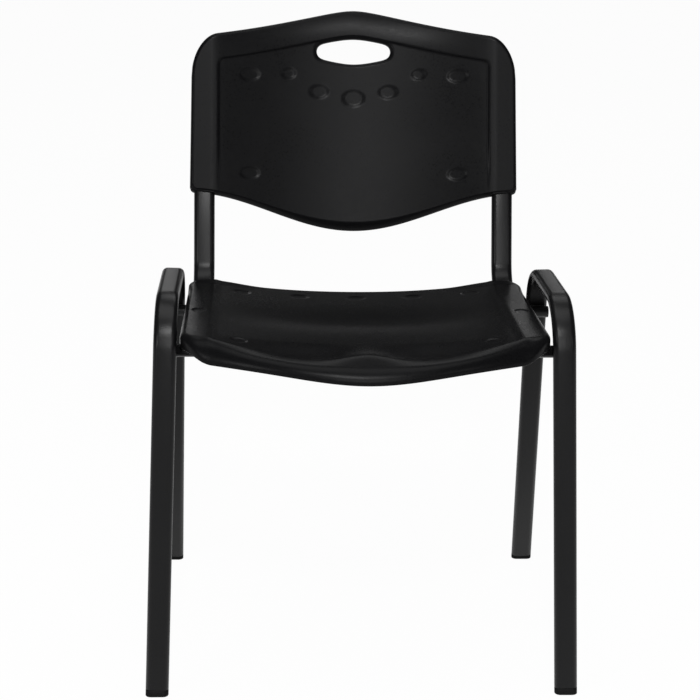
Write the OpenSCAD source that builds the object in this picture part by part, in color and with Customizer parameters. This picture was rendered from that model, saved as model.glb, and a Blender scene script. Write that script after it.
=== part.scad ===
// Stacking choir chair: two bent side frames, two back tubes welded onto two round
// cross tubes, a moulded seat and a moulded backrest that slides over the back tubes.
// The chair faces -Y, +Z is up, the floor is z = 0. Chair lengths called "y" below are
// measured from the line midway between the front and rear feet.

/* [Oval tube] */
// Width of the flat oval tube, across the chair
tube_w = 30; // [27:0.5:32]
// Thickness of the flat oval tube
tube_t = 15; // [13:0.5:16]
// Wall of the flat oval tube
tube_wall = 1.5; // [1:0.1:2.5]

/* [Side frames] */
// Distance of each foot's centre outwards of its back tube
foot_offset = 51; // [49:0.5:60]
// Distance between the centres of the front and rear feet
foot_pitch = 460; // [440:2:480]
// Height of the top run's centre line above the back tubes', midway between the feet
arm_rise = 47; // [40:0.5:60]
// Backward fall of the top run, in degrees
arm_fall = 2.1; // [1:0.1:4]
// Angle of the front legs from upright, in degrees
front_rake = 8.9; // [7.5:0.1:10]
// Angle of the rear legs from upright, in degrees
rear_rake = 15.4; // [14:0.1:16.5]
// Outward lean of each side frame, in degrees
side_lean = 1.55; // [1.2:0.05:1.7]
// Bend radius at the front of the top run, on the centre line
front_bend_r = 65; // [55:1:75]
// Bend radius at the rear of the top run, on the centre line
rear_bend_r = 72; // [60:1:80]

/* [Back tubes] */
// Distance between the centres of the two back tubes
rail_spread = 434; // [430:0.5:436]
// Height of the back tubes' centre line where y is zero
rail_h = 451.5; // [445:0.5:455]
// Backward fall of the back tubes under the seat, in degrees
seat_fall = 2.9; // [2:0.1:3.5]
// Angle of the back from upright, in degrees
recline = 15.6; // [12:0.2:18]
// Bend radius between rail and upright, on the centre line
rail_bend_r = 45; // [38:1:48]
// Place, in y, where the lines of rail and upright meet
bend_y = 199.6; // [197:0.5:210]
// Length of the upright above that place
upright_len = 310; // [290:2:316]

/* [Cross tubes] */
// Outside diameter of the round cross tubes
bar_d = 16; // [12:0.5:18]
// Wall of the round cross tubes
bar_wall = 1.5; // [1:0.1:2.5]

/* [Seat] */
// Reach of the seat's sides beyond the centres of the back tubes
seat_brim = 20; // [19:0.5:21]
// Reach of the seat's front edge in front of the front cross tube's centre
seat_nose = 117.3; // [105:1:130]
// Gap from the seat's rear edge to the place where rail and upright meet
tail_gap = 29.6; // [26:0.2:34]
// Thickness of the seat shell
seat_t = 4.5; // [3.5:0.1:5]
// Depth of the dish below the bands that lie on the rails
seat_dish = 13.5; // [8:0.5:13.5]
// Further fall of the two thigh hollows at the front
thigh_dip = 10; // [4:0.5:14]
// Height of the skirt along the sides, below the rounded edge
seat_skirt = 11; // [6:0.5:12]
// Depth of the rolled front edge
front_drop = 12; // [9:0.5:16]

/* [Backrest] */
// Reach of the backrest's lower corners beyond the centres of the back tubes
back_brim = 21; // [20:0.5:23]
// Narrowing of the backrest towards its upper corners
back_taper = 4; // [0:0.5:5]
// Height of the crown above the bend, measured along the upright
back_top = 403; // [395:1:415]
// Height of the lowest point above the bend, measured along the upright
back_low = 80; // [70:1:95]
// Rise of the lower edge from the middle to the corners
back_rise = 53; // [40:1:60]
// Thickness of the backrest shell
back_t = 3.4; // [2.6:0.1:3.6]
// How far the panel curves back behind the uprights
back_hollow = 25; // [18:1:30]
// Further lean of the crown backwards, at its top
crown_back = 5; // [0:0.5:8]
// Depth of the panel's field below its raised border
field_depth = 2.5; // [1:0.1:3]
// Length of the hand hole
hole_w = 109; // [90:1:120]
// Height of the hand hole
hole_h = 36; // [28:0.5:40]

/* [Feet, plugs and screws] */
// Height of the foot caps along the leg
foot_h = 8; // [6:0.5:12]
// Depth of a plug inside its tube
plug_depth = 20; // [12:1:30]
// Diameter of the screw shanks
screw_d = 5; // [4:0.1:5.5]
// Diameter of the screw heads
screw_head_d = 10.5; // [9:0.1:12]

/* [Hidden] */
$fn = 48;

// Clearances: welded faces, seat on rails, pockets on uprights, plugs in tubes, screws
weld_gap = 0.2;
seat_gap = 0.3;
pocket_gap = 0.4;
plug_gap = 0.25;
screw_gap = 0.15;
// Overrun that lets every cut pass its face
over = 2;
// Overlap where a straight length of tube runs into a bend, and how much the tube
// draws in all round inside a bend
seam = 0.3;
bend_ease = 0.05;

// Colours
steel_black = [0.07, 0.07, 0.075];
shell_black = [0.05, 0.05, 0.055];
plug_black = [0.03, 0.03, 0.03];
zinc = [0.62, 0.63, 0.65];

// Plane geometry: points are [y, z], headings are degrees from +y towards +z
function heading(a) = [cos(a), sin(a)];
function left_of(a) = [-sin(a), cos(a)];
function cross2(p, q) = p[0] * q[1] - p[1] * q[0];
function meet(p, a, q, b) =
    p + heading(a) * cross2(q - p, heading(b)) / cross2(heading(a), heading(b));
function step_share(t) = t <= 0 ? 0 : t >= 1 ? 1 : t * t * (3 - 2 * t);
function dome_share(t) = exp(-t * t);

// Widths that follow the back tubes
foot_spread = rail_spread + 2 * foot_offset;
seat_w = rail_spread + 2 * seat_brim;
back_w = rail_spread + 2 * back_brim;

// Side frame path in its own leaning plane
front_foot = [-foot_pitch / 2, 0];
rear_foot = [foot_pitch / 2, 0];
front_up = 90 - front_rake;
rear_up = 90 + rear_rake;
arm_h = rail_h + arm_rise;
arm_front = meet(front_foot, front_up, [0, arm_h], -arm_fall);
arm_rear = meet(rear_foot, rear_up, [0, arm_h], -arm_fall);

// Back tube path
rail_a = -seat_fall;
upright_a = 90 - recline;
bend_z = rail_h - bend_y * tan(seat_fall);
bend_at = [bend_y, bend_z];

// Cross tubes touch the legs' inner faces and the undersides of the rails
touch = tube_t / 2 + weld_gap + bar_d / 2;
rail_line = [0, rail_h] - left_of(rail_a) * touch;
front_bar = meet(front_foot - left_of(front_up) * touch, front_up, rail_line, rail_a);
rear_bar = meet(rear_foot + left_of(rear_up) * touch, rear_up, rail_line, rail_a);
// Rail ends stand this far in front of the front cross tube
rail_overhang = 1;
rail_start_y = front_bar[0] - bar_d / 2 - rail_overhang;
rail_start = [rail_start_y, rail_h - rail_start_y * tan(seat_fall)];

// Seat surface: its front edge reaches seat_reach in front of y zero, its rear edge
// seat_tail behind
seat_reach = seat_nose - front_bar[0];
seat_tail = bend_y - tail_gap;
seat_side_roll = 8;
seat_front_roll = 14;
seat_rear_roll = 6;
seat_front_bow = 72;
seat_corner_r = 32;
seat_inner_corner_r = 30;
seat_rear_corner_r = 26;
seat_side_drop = 8;
seat_rear_drop = 6;
seat_rear_skirt = 6;
seat_lip_skirt = 3;
seat_lip_round = 1;
skirt_fade = 45;
band_inset = 21;
band_edge = rail_spread / 2 - band_inset;
band_step = 1.5;
band_step_w = 4;
dish_share = 2.3;
thigh_share = 3;
pommel_w = 42;
pommel_rise = 1.5;
pommel_len = 22;
// The apron falls from its crest to the lip, whose lower edge lies this far below the
// bands, and deeper towards the middle
lip_below = 31;
lip_bow = 14.4;
lip_bow_w = 110;
crest_run = 34;
crest_pommel = 5;
apron_share = 0.15;
thigh_front = 37;
thigh_run = 67;
thigh_end = seat_reach - thigh_front;
thigh_start = thigh_end - thigh_run;
sit_dip = 4;
sit_y = -22;
sit_len = 55;
tail_up = 3;
tail_len = 25;
band_fade = 70;
front_fade = 42;
// Round recesses in the upper face, at shares of half the rails' distance and of the
// tail's reach
seat_dimple_d = 25;
dimple_deep = 1.1;
seat_dimple_shares = [[0, 0.72], [0.37, 0.72], [0.747, 0.694], [1, -0.147], [0.747, -1.03]];

// Backrest surface, on x and the height s above the bend along the upright. Its front
// face lies this far rearwards of the uprights' centre plane
front_face = -(tube_t / 2 + pocket_gap + back_t);
sleeve_wall = 2.6;
sleeve_in = rail_spread / 2 - tube_w / 2 - pocket_gap - sleeve_wall;
sleeve_rim = 5;
sleeve_r = 4.5;
sleeve_cap = 2;
sleeve_ramp = 34;
back_roll = 6;
back_side_roll = 5;
back_low_roll = 6.5;
back_low_bow_w = 110;
back_flange = 7;
back_low_flange = 10;
crease_share = 0.55;
back_corner_w = 38;
back_corner_h = 58;
back_low_corner = 7;
crown_share = 0.25;
crown_round = 25;
crown_ease_share = 0.18;
border_w = 36.5;
field_edge_w = 5;
field_inset = 1;
field_r = 9;
field_fade_s = back_low + 45;
field_fade_run = 110;
hole_down = 60.5;
hole_s = back_top - hole_down;
hole_end_share = 8;
// Long round recesses in the field: shares of the field's half width, of the crown's
// height and of the largest recess
back_dimple_w = 34;
back_dimple_h = 25;
back_dimple_shares = [[0, 0.68, 1], [0.254, 0.703, 0.84], [0.477, 0.766, 0.66],
    [0.763, 0.759, 0.88], [0.761, 0.404, 0.85]];

// Grid densities of the two shells
seat_nx = 34;
seat_ny = 24;
back_nx = 32;
back_ny = 20;
edge_share = 0.45;
roll_steps = 4;

// The model's origin lies under the middle of its bounding box
back_reach = bend_y + (back_top - back_t / 2) * sin(recline)
    + (front_face + back_hollow + crown_back + back_flange + back_t / 4) * cos(recline);
mid_y = (back_reach - seat_reach) / 2;

// Flat oval outline, straight across its middle and round at both ends
module oval(w, t) {
    square([w - t, t], center = true);
    for (s = [-1, 1]) translate([s * (w - t) / 2, 0]) circle(d = t);
}

// Section of the tube wall, drawn in all round by ease
module oval_ring(ease) {
    bore = tube_wall + ease;
    difference() {
        oval(tube_w - 2 * ease, tube_t - 2 * ease);
        oval(tube_w - 2 * bore, tube_t - 2 * bore);
    }
}

// A straight length of tube in the drawing plane, from point p along heading a
module straight(p, a, len) {
    translate([p[0], p[1], 0]) rotate([0, 0, a]) rotate([0, 90, 0])
        translate([0, 0, -seam]) linear_extrude(height = len + 2 * seam) oval_ring(0);
}

// A bend that starts at p along heading a and turns by turn degrees, left positive
module bend(p, a, turn, r) {
    side = turn > 0 ? 1 : -1;
    c = p + left_of(a) * side * r;
    from = turn > 0 ? a - 90 : a + 90 + turn;
    translate([c[0], c[1], 0]) rotate([0, 0, from])
        rotate_extrude(angle = abs(turn), $fn = 96)
            translate([r, 0]) rotate(90) oval_ring(bend_ease);
}

// The drawing plane stands up in the chair: its X is y, its Y is z, its Z is x
module stand_up() { rotate([90, 0, 90]) children(); }

function tangent(r, a, b) = r * tan(abs(b - a) / 2);

module side_path() {
    down = rear_up - 180;
    t1 = tangent(front_bend_r, front_up, -arm_fall);
    t2 = tangent(rear_bend_r, -arm_fall, down);
    bare = foot_h + seam;
    leg1 = norm(arm_front - front_foot) - t1 - bare;
    leg2 = norm(arm_rear - rear_foot) - t2 - bare;
    top = norm(arm_rear - arm_front) - t1 - t2;
    straight(front_foot + heading(front_up) * bare, front_up, leg1);
    bend(arm_front - heading(front_up) * t1, front_up, -arm_fall - front_up, front_bend_r);
    straight(arm_front + heading(-arm_fall) * t1, -arm_fall, top);
    bend(arm_rear - heading(-arm_fall) * t2, -arm_fall, down + arm_fall, rear_bend_r);
    straight(arm_rear + heading(down) * t2, down, leg2);
}

module rail_path() {
    t = tangent(rail_bend_r, rail_a, upright_a);
    straight(rail_start + heading(rail_a) * seam, rail_a, norm(bend_at - rail_start) - t - seam);
    bend(bend_at - heading(rail_a) * t, rail_a, upright_a - rail_a, rail_bend_r);
    straight(bend_at + heading(upright_a) * t, upright_a, upright_len - t - seam);
}

// Placing: the chair's frame, the right side's leaning plane, the reclined back
module in_chair() { translate([0, -mid_y, 0]) children(); }
module in_side() { translate([foot_spread / 2, 0, 0]) rotate([0, -side_lean, 0]) children(); }
module on_left() { mirror([1, 0, 0]) children(); }
module in_back() { translate([0, bend_y, bend_z]) rotate([-recline, 0, 0]) children(); }

module side_frame() { color(steel_black) in_chair() in_side() stand_up() side_path(); }

// Seat screws stand square to the rails, backrest screws square to the uprights
seat_screw_ys = [rear_bar[0] - tube_w, front_bar[0] + tube_w];
screw_head_h = 3.2;
screw_bite = 3.4;
back_screw_s = back_low + back_rise + 22;
back_screw_len = 9;

module at_seat_screws(x) {
    for (y = seat_screw_ys)
        translate([x, y, rail_h - y * tan(seat_fall)]) rotate([-seat_fall, 0, 0]) children();
}

module at_back_screw(x) {
    in_back() translate([x, tube_t / 2 + pocket_gap + back_t, back_screw_s])
        rotate([90, 0, 0]) children();
}

module back_tube() {
    color(steel_black) in_chair() difference() {
        translate([rail_spread / 2, 0, 0]) stand_up() rail_path();
        at_seat_screws(rail_spread / 2)
            cylinder(d = screw_d + 2 * screw_gap, h = tube_t + over, center = true);
        at_back_screw(rail_spread / 2)
            cylinder(d = screw_d + 2 * screw_gap, h = back_t + pocket_gap + tube_wall + over);
    }
}

// Half length of a cross tube whose ends are flush with the legs' outer faces
function bar_half(z) = foot_spread / 2 - z * tan(side_lean) + tube_w / 2;

module cross_tube(at) {
    color(steel_black) in_chair() translate([0, at[0], at[1]]) rotate([0, 90, 0])
        difference() {
            cylinder(d = bar_d, h = 2 * bar_half(at[1]), center = true);
            cylinder(d = bar_d - 2 * bar_wall, h = 2 * bar_half(at[1]) + over, center = true);
        }
}

// Weld beads fill the two wedges between a cross tube and a flat tube face.
// The face is the local X axis, the cross tube stands on it at the origin.
bead_r = 2.6;
bead_x = 5.4;
bead_y = 2;
bead_len = tube_w - tube_t + 2 * bead_r;

module bead_pair() {
    for (s = [-1, 1]) linear_extrude(height = bead_len, center = true) difference() {
        translate([s * bead_x, bead_y]) circle(r = bead_r);
        translate([0, weld_gap + bar_d / 2]) circle(d = bar_d + weld_gap);
        translate([0, -bar_d / 2 + weld_gap]) square([2 * bar_d, bar_d], center = true);
    }
}

// Beads on a face with heading a, on the side that the cross tube at c lies
module beads(c, a, x) {
    foot = c - left_of(a) * (weld_gap + bar_d / 2);
    translate([x, 0, 0]) stand_up() translate([foot[0], foot[1], 0]) rotate([0, 0, a]) bead_pair();
}

module frame_welds() {
    color(steel_black) in_chair() for (s = [-1, 1]) {
        beads(front_bar, front_up + 180, s * (bar_half(front_bar[1]) - tube_w / 2));
        beads(rear_bar, rear_up, s * (bar_half(rear_bar[1]) - tube_w / 2));
        beads(front_bar, rail_a + 180, s * rail_spread / 2);
        beads(rear_bar, rail_a + 180, s * rail_spread / 2);
    }
}

// A hollow plastic plug: cap of the tube's outline, ribbed spigot inside the tube.
// The tube starts at z = 0 and runs up; the cap hangs below.
plug_wall = 2;
plug_rib = 0.8;

module plug(cap_h) {
    inner_w = tube_w - 2 * tube_wall - 2 * plug_gap;
    inner_t = tube_t - 2 * tube_wall - 2 * plug_gap;
    translate([0, 0, -cap_h]) linear_extrude(height = cap_h) oval(tube_w, tube_t);
    difference() {
        linear_extrude(height = plug_depth) oval(inner_w - 2 * plug_rib, inner_t - 2 * plug_rib);
        translate([0, 0, plug_wall]) linear_extrude(height = plug_depth)
            oval(inner_w - 2 * plug_rib - 2 * plug_wall, inner_t - 2 * plug_rib - 2 * plug_wall);
    }
    for (k = [1 : 3]) translate([0, 0, k * plug_depth / 4]) difference() {
        linear_extrude(height = plug_wall) oval(inner_w, inner_t);
        translate([0, 0, -over]) linear_extrude(height = plug_wall + 2 * over)
            oval(inner_w - 4 * plug_rib, inner_t - 4 * plug_rib);
    }
}

// A foot stands on its leg's line and is cut flat on the floor
module foot(at, a) {
    color(plug_black) in_chair() difference() {
        in_side() stand_up() translate([at[0], at[1], 0]) rotate([0, 0, a]) rotate([0, 90, 0])
            translate([0, 0, foot_h]) plug(foot_h + tube_t / 2);
        translate([foot_spread / 2, at[0], -tube_w]) cube(2 * tube_w, center = true);
    }
}

module tube_plug() {
    color(plug_black) in_chair() translate([rail_spread / 2, 0, 0]) stand_up()
        translate([rail_start[0], rail_start[1], 0]) rotate([0, 0, rail_a]) rotate([0, 90, 0])
            plug(plug_wall);
}

// Pan head screw: the head's underside is at z = 0, the shank runs up
module screw(len) {
    translate([0, 0, -screw_head_h]) cylinder(d1 = screw_head_d * 0.8, d2 = screw_head_d,
        h = screw_head_h / 2);
    translate([0, 0, -screw_head_h / 2]) cylinder(d = screw_head_d, h = screw_head_h / 2);
    cylinder(d = screw_d, h = len);
}

module seat_screws() {
    color(zinc) in_chair() for (s = [-1, 1]) at_seat_screws(s * rail_spread / 2)
        translate([0, 0, -tube_t / 2]) screw(tube_t + seat_gap + screw_bite);
}

module backrest_screws() {
    color(zinc) in_chair() for (s = [-1, 1]) at_back_screw(s * rail_spread / 2)
        screw(back_screw_len);
}

// Shared rules of the two shells: u and v run over a grid of cells, closer at the edges
function even(i, n) = 2 * i / n - 1;
function spread(f) = edge_share * sin(90 * f) + (1 - edge_share) * f;
function corner_cut(a, half, rx, ry) =
    a <= half - rx ? 0 : ry * (1 - sqrt(max(0, 1 - pow((a - half + rx) / rx, 2))));
function mix(a, b, t) = a + (b - a) * t;
function flat_list(l) = [for (r = l) for (p = r) p];
function loop_cell(k, n, m) =
    k < n ? [k, 0] : k < n + m ? [n, k - n] : k < 2 * n + m ? [2 * n + m - k, m]
        : [0, 2 * n + 2 * m - k];

// One closed skin: an upper grid, rings that turn the edge over, and an under grid
module skin(upper, rings, under, n, m) {
    ring_n = 2 * (n + m);
    count = (n + 1) * (m + 1);
    last = count + len(rings) * ring_n;
    function top_at(c) = c[1] * (n + 1) + c[0];
    function ring_at(r, k) = r < 0 ? top_at(loop_cell(k % ring_n, n, m))
        : r < len(rings) ? count + r * ring_n + k % ring_n
        : last + top_at(loop_cell(k % ring_n, n, m));
    cells = [for (j = [0 : m - 1]) for (i = [0 : n - 1]) [i, j]];
    faces = [
        for (c = cells) let (a = top_at(c)) [a, a + n + 1, a + n + 2],
        for (c = cells) let (a = top_at(c)) [a, a + n + 2, a + 1],
        for (c = cells) let (a = last + top_at(c)) [a, a + n + 2, a + n + 1],
        for (c = cells) let (a = last + top_at(c)) [a, a + 1, a + n + 2],
        for (r = [-1 : len(rings) - 1]) for (k = [0 : ring_n - 1])
            [ring_at(r, k), ring_at(r, k + 1), ring_at(r + 1, k + 1)],
        for (r = [-1 : len(rings) - 1]) for (k = [0 : ring_n - 1])
            [ring_at(r, k), ring_at(r + 1, k + 1), ring_at(r + 1, k)]
    ];
    polyhedron(concat(flat_list(upper), flat_list(rings), flat_list(under)), faces);
}

// Seat outline: the inner line, where the edge starts to roll, and the outer line
function bow(x) = seat_front_bow * pow(2 * x / seat_w, 2);
function seat_front(x, half, reach, r) = bow(x) - reach + corner_cut(abs(x), half, r, r);
function seat_rear(x, half, tail) =
    tail - corner_cut(abs(x), half, seat_rear_corner_r, seat_rear_corner_r);
function seat_plan(i, j, half, reach, tail, r) =
    let (x = spread(even(i, seat_nx)) * half)
        [x, mix(seat_front(x, half, reach, r), seat_rear(x, half, tail),
            (1 + spread(even(j, seat_ny))) / 2)];
function seat_in(i, j) = seat_plan(i, j, seat_w / 2 - seat_side_roll,
    seat_reach - seat_front_roll, seat_tail - seat_rear_roll, seat_inner_corner_r);
function seat_out(i, j) =
    seat_plan(i, j, seat_w / 2, seat_reach, seat_tail, seat_corner_r);

// Height of the seat's upper face
function band_z(y) = rail_h - y * tan(seat_fall) + tube_t / 2 / cos(seat_fall) + seat_gap + seat_t;
function at_corner(x) = step_share((abs(x) - seat_w / 2 + front_fade) / front_fade);
function seat_z(x, y) =
    let (u = min(1, abs(x) / band_edge),
        dish = 1 - pow(u, dish_share),
        inside = 1 - step_share((abs(x) - band_edge) / band_step_w),
        hollow = (1 - dome_share(x / pommel_w)) * (1 - pow(u, thigh_share)),
        sunk = seat_dish * dish + band_step * inside,
        lip = lip_below + lip_bow * dome_share(x / lip_bow_w) - seat_lip_skirt - front_drop,
        apron = max(0, lip - sunk - thigh_dip * hollow) * (1 - at_corner(x)),
        behind = y - bow(x) + seat_reach,
        crest = crest_run + crest_pommel * dome_share(x / pommel_w),
        t = max(0, 1 - behind / crest))
    band_z(y) - sunk - sit_dip * dish * dome_share((y - sit_y) / sit_len)
        - thigh_dip * hollow * step_share((-y - thigh_start) / (thigh_end - thigh_start))
        - apron * (1 + apron_share) * t * t / (t + apron_share)
        + pommel_rise * dome_share(x / pommel_w) * dome_share((behind - crest) / pommel_len)
        + tail_up * step_share((y - seat_tail + tail_len) / tail_len)
            * step_share((abs(x) - band_edge + band_fade) / band_fade);

// Drop of the rolled edge and depth of the skirt below it, by place on the outline
function seat_flush(x) = step_share((abs(x) - rail_spread / 2 + tube_w) / (tube_w / 2));
function seat_drop(c, p) =
    c[1] == 0 ? mix(front_drop, seat_side_drop, at_corner(p[0]))
        : c[1] == seat_ny ? mix(seat_rear_drop, seat_t / 2, seat_flush(p[0]))
        : mix(seat_t / 2, seat_side_drop,
            step_share((seat_tail - seat_rear_corner_r - p[1]) / skirt_fade));
function seat_wall(c, p) =
    c[1] == 0 ? mix(seat_lip_skirt, seat_skirt, at_corner(p[0]))
        : c[1] == seat_ny ? mix(seat_rear_skirt, seat_t / 2, seat_flush(p[0]))
        : mix(seat_t / 2, seat_skirt,
            step_share((seat_tail - seat_rear_corner_r - p[1]) / skirt_fade));

seat_loop = 2 * (seat_nx + seat_ny);
function seat_cell(k) = loop_cell((k + seat_loop) % seat_loop, seat_nx, seat_ny);
function seat_edge(k) = let (c = seat_cell(k)) seat_out(c[0], c[1]);
function outward(p, q) = let (d = q - p) [d[1], -d[0]] / norm(d);
function seat_inner_edge(k) =
    seat_edge(k) - outward(seat_edge(k - 1), seat_edge(k + 1)) * seat_t;
function seat_point(p, depth) = [p[0], p[1], seat_z(p[0], p[1]) - depth];

function seat_ring_out(k, a) = let (c = seat_cell(k), e = seat_edge(k))
    seat_point(mix(seat_in(c[0], c[1]), e, sin(a)), seat_drop(c, e) * (1 - cos(a)));
function seat_ring_lip(k, in, short) = let (c = seat_cell(k), e = seat_edge(k))
    seat_point(mix(e, seat_inner_edge(k), in), seat_drop(c, e) + seat_wall(c, e) - short);
function seat_ring_in(k, a) = let (c = seat_cell(k), e = seat_edge(k))
    seat_point(mix(seat_in(c[0], c[1]), seat_inner_edge(k), sin(a)),
        seat_t + max(0, seat_drop(c, e) - seat_t) * (1 - cos(a)));

// A recess of outline w by h into a face that faces local -Z, its floor at dimple_deep
module dimple(w, h) {
    translate([0, 0, -over]) linear_extrude(height = over + dimple_deep)
        polygon([for (a = [0 : 15 : 345]) [w / 2 * cos(a), h / 2 * sin(a)]]);
}

function rise_x(x, y) = (seat_z(x + seam, y) - seat_z(x, y)) / seam;
function rise_y(x, y) = (seat_z(x, y + seam) - seat_z(x, y)) / seam;
module seat_dimples() {
    for (p = seat_dimple_shares) for (s = p[0] == 0 ? [1] : [-1, 1])
        let (x = s * p[0] * rail_spread / 2, y = p[1] * seat_tail)
            translate([x, y, seat_z(x, y)]) rotate([atan(rise_y(x, y)), -atan(rise_x(x, y)), 0])
                rotate([180, 0, 0]) dimple(seat_dimple_d, seat_dimple_d);
}

module seat_shell() {
    ks = [0 : seat_loop - 1];
    turns = [for (r = [1 : roll_steps]) 90 * r / roll_steps];
    rings = concat(
        [for (a = turns) [for (k = ks) seat_ring_out(k, a)]],
        [[for (k = ks) seat_ring_lip(k, 0, seat_lip_round)]],
        [[for (k = ks) seat_ring_lip(k, 0.5, 0)]],
        [[for (k = ks) seat_ring_lip(k, 1, seat_lip_round / 2)]],
        [for (r = [roll_steps : -1 : 1]) [for (k = ks) seat_ring_in(k, 90 * r / roll_steps)]]);
    upper = [for (j = [0 : seat_ny]) [for (i = [0 : seat_nx]) seat_point(seat_in(i, j), 0)]];
    under = [for (j = [0 : seat_ny]) [for (i = [0 : seat_nx]) seat_point(seat_in(i, j), seat_t)]];
    color(shell_black) in_chair() difference() {
        skin(upper, rings, under, seat_nx, seat_ny);
        for (s = [-1, 1]) at_seat_screws(s * rail_spread / 2)
            cylinder(d = screw_d + 2 * screw_gap, h = tube_t / 2 + seat_gap + screw_bite + screw_gap);
        seat_dimples();
    }
}

// Backrest outline on [x, s]
function back_half(v) = back_w / 2 - back_taper / 2 * v;
function crown(x) = crown_share * (norm([x, crown_round]) - crown_round)
    * (1 - crown_ease_share * pow(2 * x / back_w, 2));
function back_upper(x, half, in) = back_top - in - crown(x)
    - corner_cut(abs(x), half, back_corner_w - in / 2, back_corner_h - in);
function back_lower(x, half, in) = back_low + in * (1 + dome_share(x / back_low_bow_w))
    + back_rise * pow(sin(180 * x / back_w), 2)
    + corner_cut(abs(x), half, back_low_corner, back_low_corner);
function back_plan(i, j, side, up, low) =
    let (v = (1 + spread(even(j, back_ny))) / 2,
        half = back_half(v) - side,
        x = spread(even(i, back_nx)) * half)
        [x, mix(back_lower(x, half, low), back_upper(x, half, up), v)];
function back_in(i, j) = back_plan(i, j, back_side_roll, back_roll, back_low_roll);
function back_out(i, j) = back_plan(i, j, 0, 0, 0);

// Distance inside the field's outline, a box with round corners whose top follows the
// crown; then the front face's place, with the hollow, the sunk field and the crown
function in_field(x, s) =
    let (past = abs(x) - sleeve_in + field_inset + field_r,
        up = s - back_top + crown(x) + border_w + field_r)
    field_r - norm([max(past, 0), max(up, 0)]) - min(max(past, up), 0);
function back_n(x, s) =
    let (u = min(1, abs(x) / sleeve_in),
        rise = max(0, min(1, (s - back_top + crown(x) + border_w) / (border_w - back_t / 2))))
    front_face + (back_hollow + crown_back * rise * rise) * (1 - u * u)
        + field_depth * step_share(in_field(x, s) / field_edge_w)
            * step_share((s - field_fade_s) / field_fade_run);

back_loop = 2 * (back_nx + back_ny);
function back_cell(k) = loop_cell((k + back_loop) % back_loop, back_nx, back_ny);
function back_edge(k) = let (c = back_cell(k)) back_out(c[0], c[1]);
function back_inner_edge(k) =
    back_edge(k) - outward(back_edge(k - 1), back_edge(k + 1)) * back_t;
function back_turn(c) = c[1] == 0 ? back_low_flange : back_flange;
// The edge rolls over in a quarter round, and below in a crease
function back_roll_share(c, a) = mix(1 - cos(a), sin(a), c[1] == 0 ? crease_share : 0);
function back_point(p, depth) = [p[0], back_n(p[0], p[1]) + depth, p[1]];
function back_ring_out(k, a) = let (c = back_cell(k), e = back_edge(k))
    back_point(mix(back_in(c[0], c[1]), e, sin(a)), back_turn(c) * back_roll_share(c, a));
function back_ring_lip(k, in) = let (c = back_cell(k))
    back_point(mix(back_edge(k), back_inner_edge(k), in), back_turn(c) + back_t / 4);
function back_ring_in(k, a) = let (c = back_cell(k))
    back_point(mix(back_in(c[0], c[1]), back_inner_edge(k), sin(a)),
        back_t + (back_turn(c) - back_t) * back_roll_share(c, a));

module back_panel() {
    ks = [0 : back_loop - 1];
    turns = [for (r = [1 : roll_steps]) 90 * r / roll_steps];
    rings = concat(
        [for (a = turns) [for (k = ks) back_ring_out(k, a)]],
        [[for (k = ks) back_ring_lip(k, 0.5)]],
        [for (r = [roll_steps : -1 : 1]) [for (k = ks) back_ring_in(k, 90 * r / roll_steps)]]);
    upper = [for (j = [0 : back_ny]) [for (i = [0 : back_nx]) back_point(back_in(i, j), 0)]];
    under = [for (j = [0 : back_ny]) [for (i = [0 : back_nx]) back_point(back_in(i, j), back_t)]];
    skin(upper, rings, under, back_nx, back_ny);
}

// Hand hole outline: its top falls off as the crown does, its bottom mirrors that, and
// its ends are blunt
function hole_half(x, grow) = (hole_h / 2 - crown(x) + grow)
    * sqrt(max(0, 1 - pow(2 * abs(x) / (hole_w + 2 * grow), hole_end_share)));
function hole_points(grow) = let (w = hole_w / 2 + grow) concat(
    [for (b = [-90 : 9 : 90]) [w * sin(b), hole_s - hole_half(w * sin(b), grow)]],
    [for (b = [-81 : 9 : 81]) [-w * sin(b), hole_s + hole_half(w * sin(b), grow)]]);

// The hole's turned-back rim: a ring of four edges that follows the panel
module hole_rim() {
    near = hole_points(-back_t / 2);
    far = hole_points(back_t);
    n = len(near);
    points = concat([for (p = near) back_point(p, back_t / 2)],
        [for (p = far) back_point(p, back_t / 2)],
        [for (p = far) back_point(p, back_flange)],
        [for (p = near) back_point(p, back_flange)]);
    function at(q, k) = q % 4 * n + k % n;
    polyhedron(points, concat(
        [for (q = [0 : 3]) for (k = [0 : n - 1]) [at(q, k), at(q, k + 1), at(q + 1, k + 1)]],
        [for (q = [0 : 3]) for (k = [0 : n - 1]) [at(q, k), at(q + 1, k + 1), at(q + 1, k)]]));
}

function back_rise_x(x, s) = (back_n(x + seam, s) - back_n(x, s)) / seam;
module back_dimples() {
    for (p = back_dimple_shares) for (m = p[0] == 0 ? [1] : [-1, 1])
        let (x = m * p[0] * sleeve_in, s = p[1] * back_top)
            translate([x, back_n(x, s), s]) rotate([0, 0, atan(back_rise_x(x, s))])
                rotate([-90, 0, 0]) dimple(back_dimple_w * p[2], back_dimple_h * p[2]);
}

// A prism through the back, along its thickness, from an outline on x and s
module through_back(points, y0, y1) {
    translate([0, y1, 0]) rotate([90, 0, 0]) linear_extrude(height = y1 - y0) polygon(points);
}

// Pocket that each upright slides into, closed at the top
module pocket() {
    translate([rail_spread / 2, 0, -over]) linear_extrude(height = upright_len + pocket_gap + over)
        oval(tube_w + 2 * pocket_gap, tube_t + 2 * pocket_gap);
}

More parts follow.
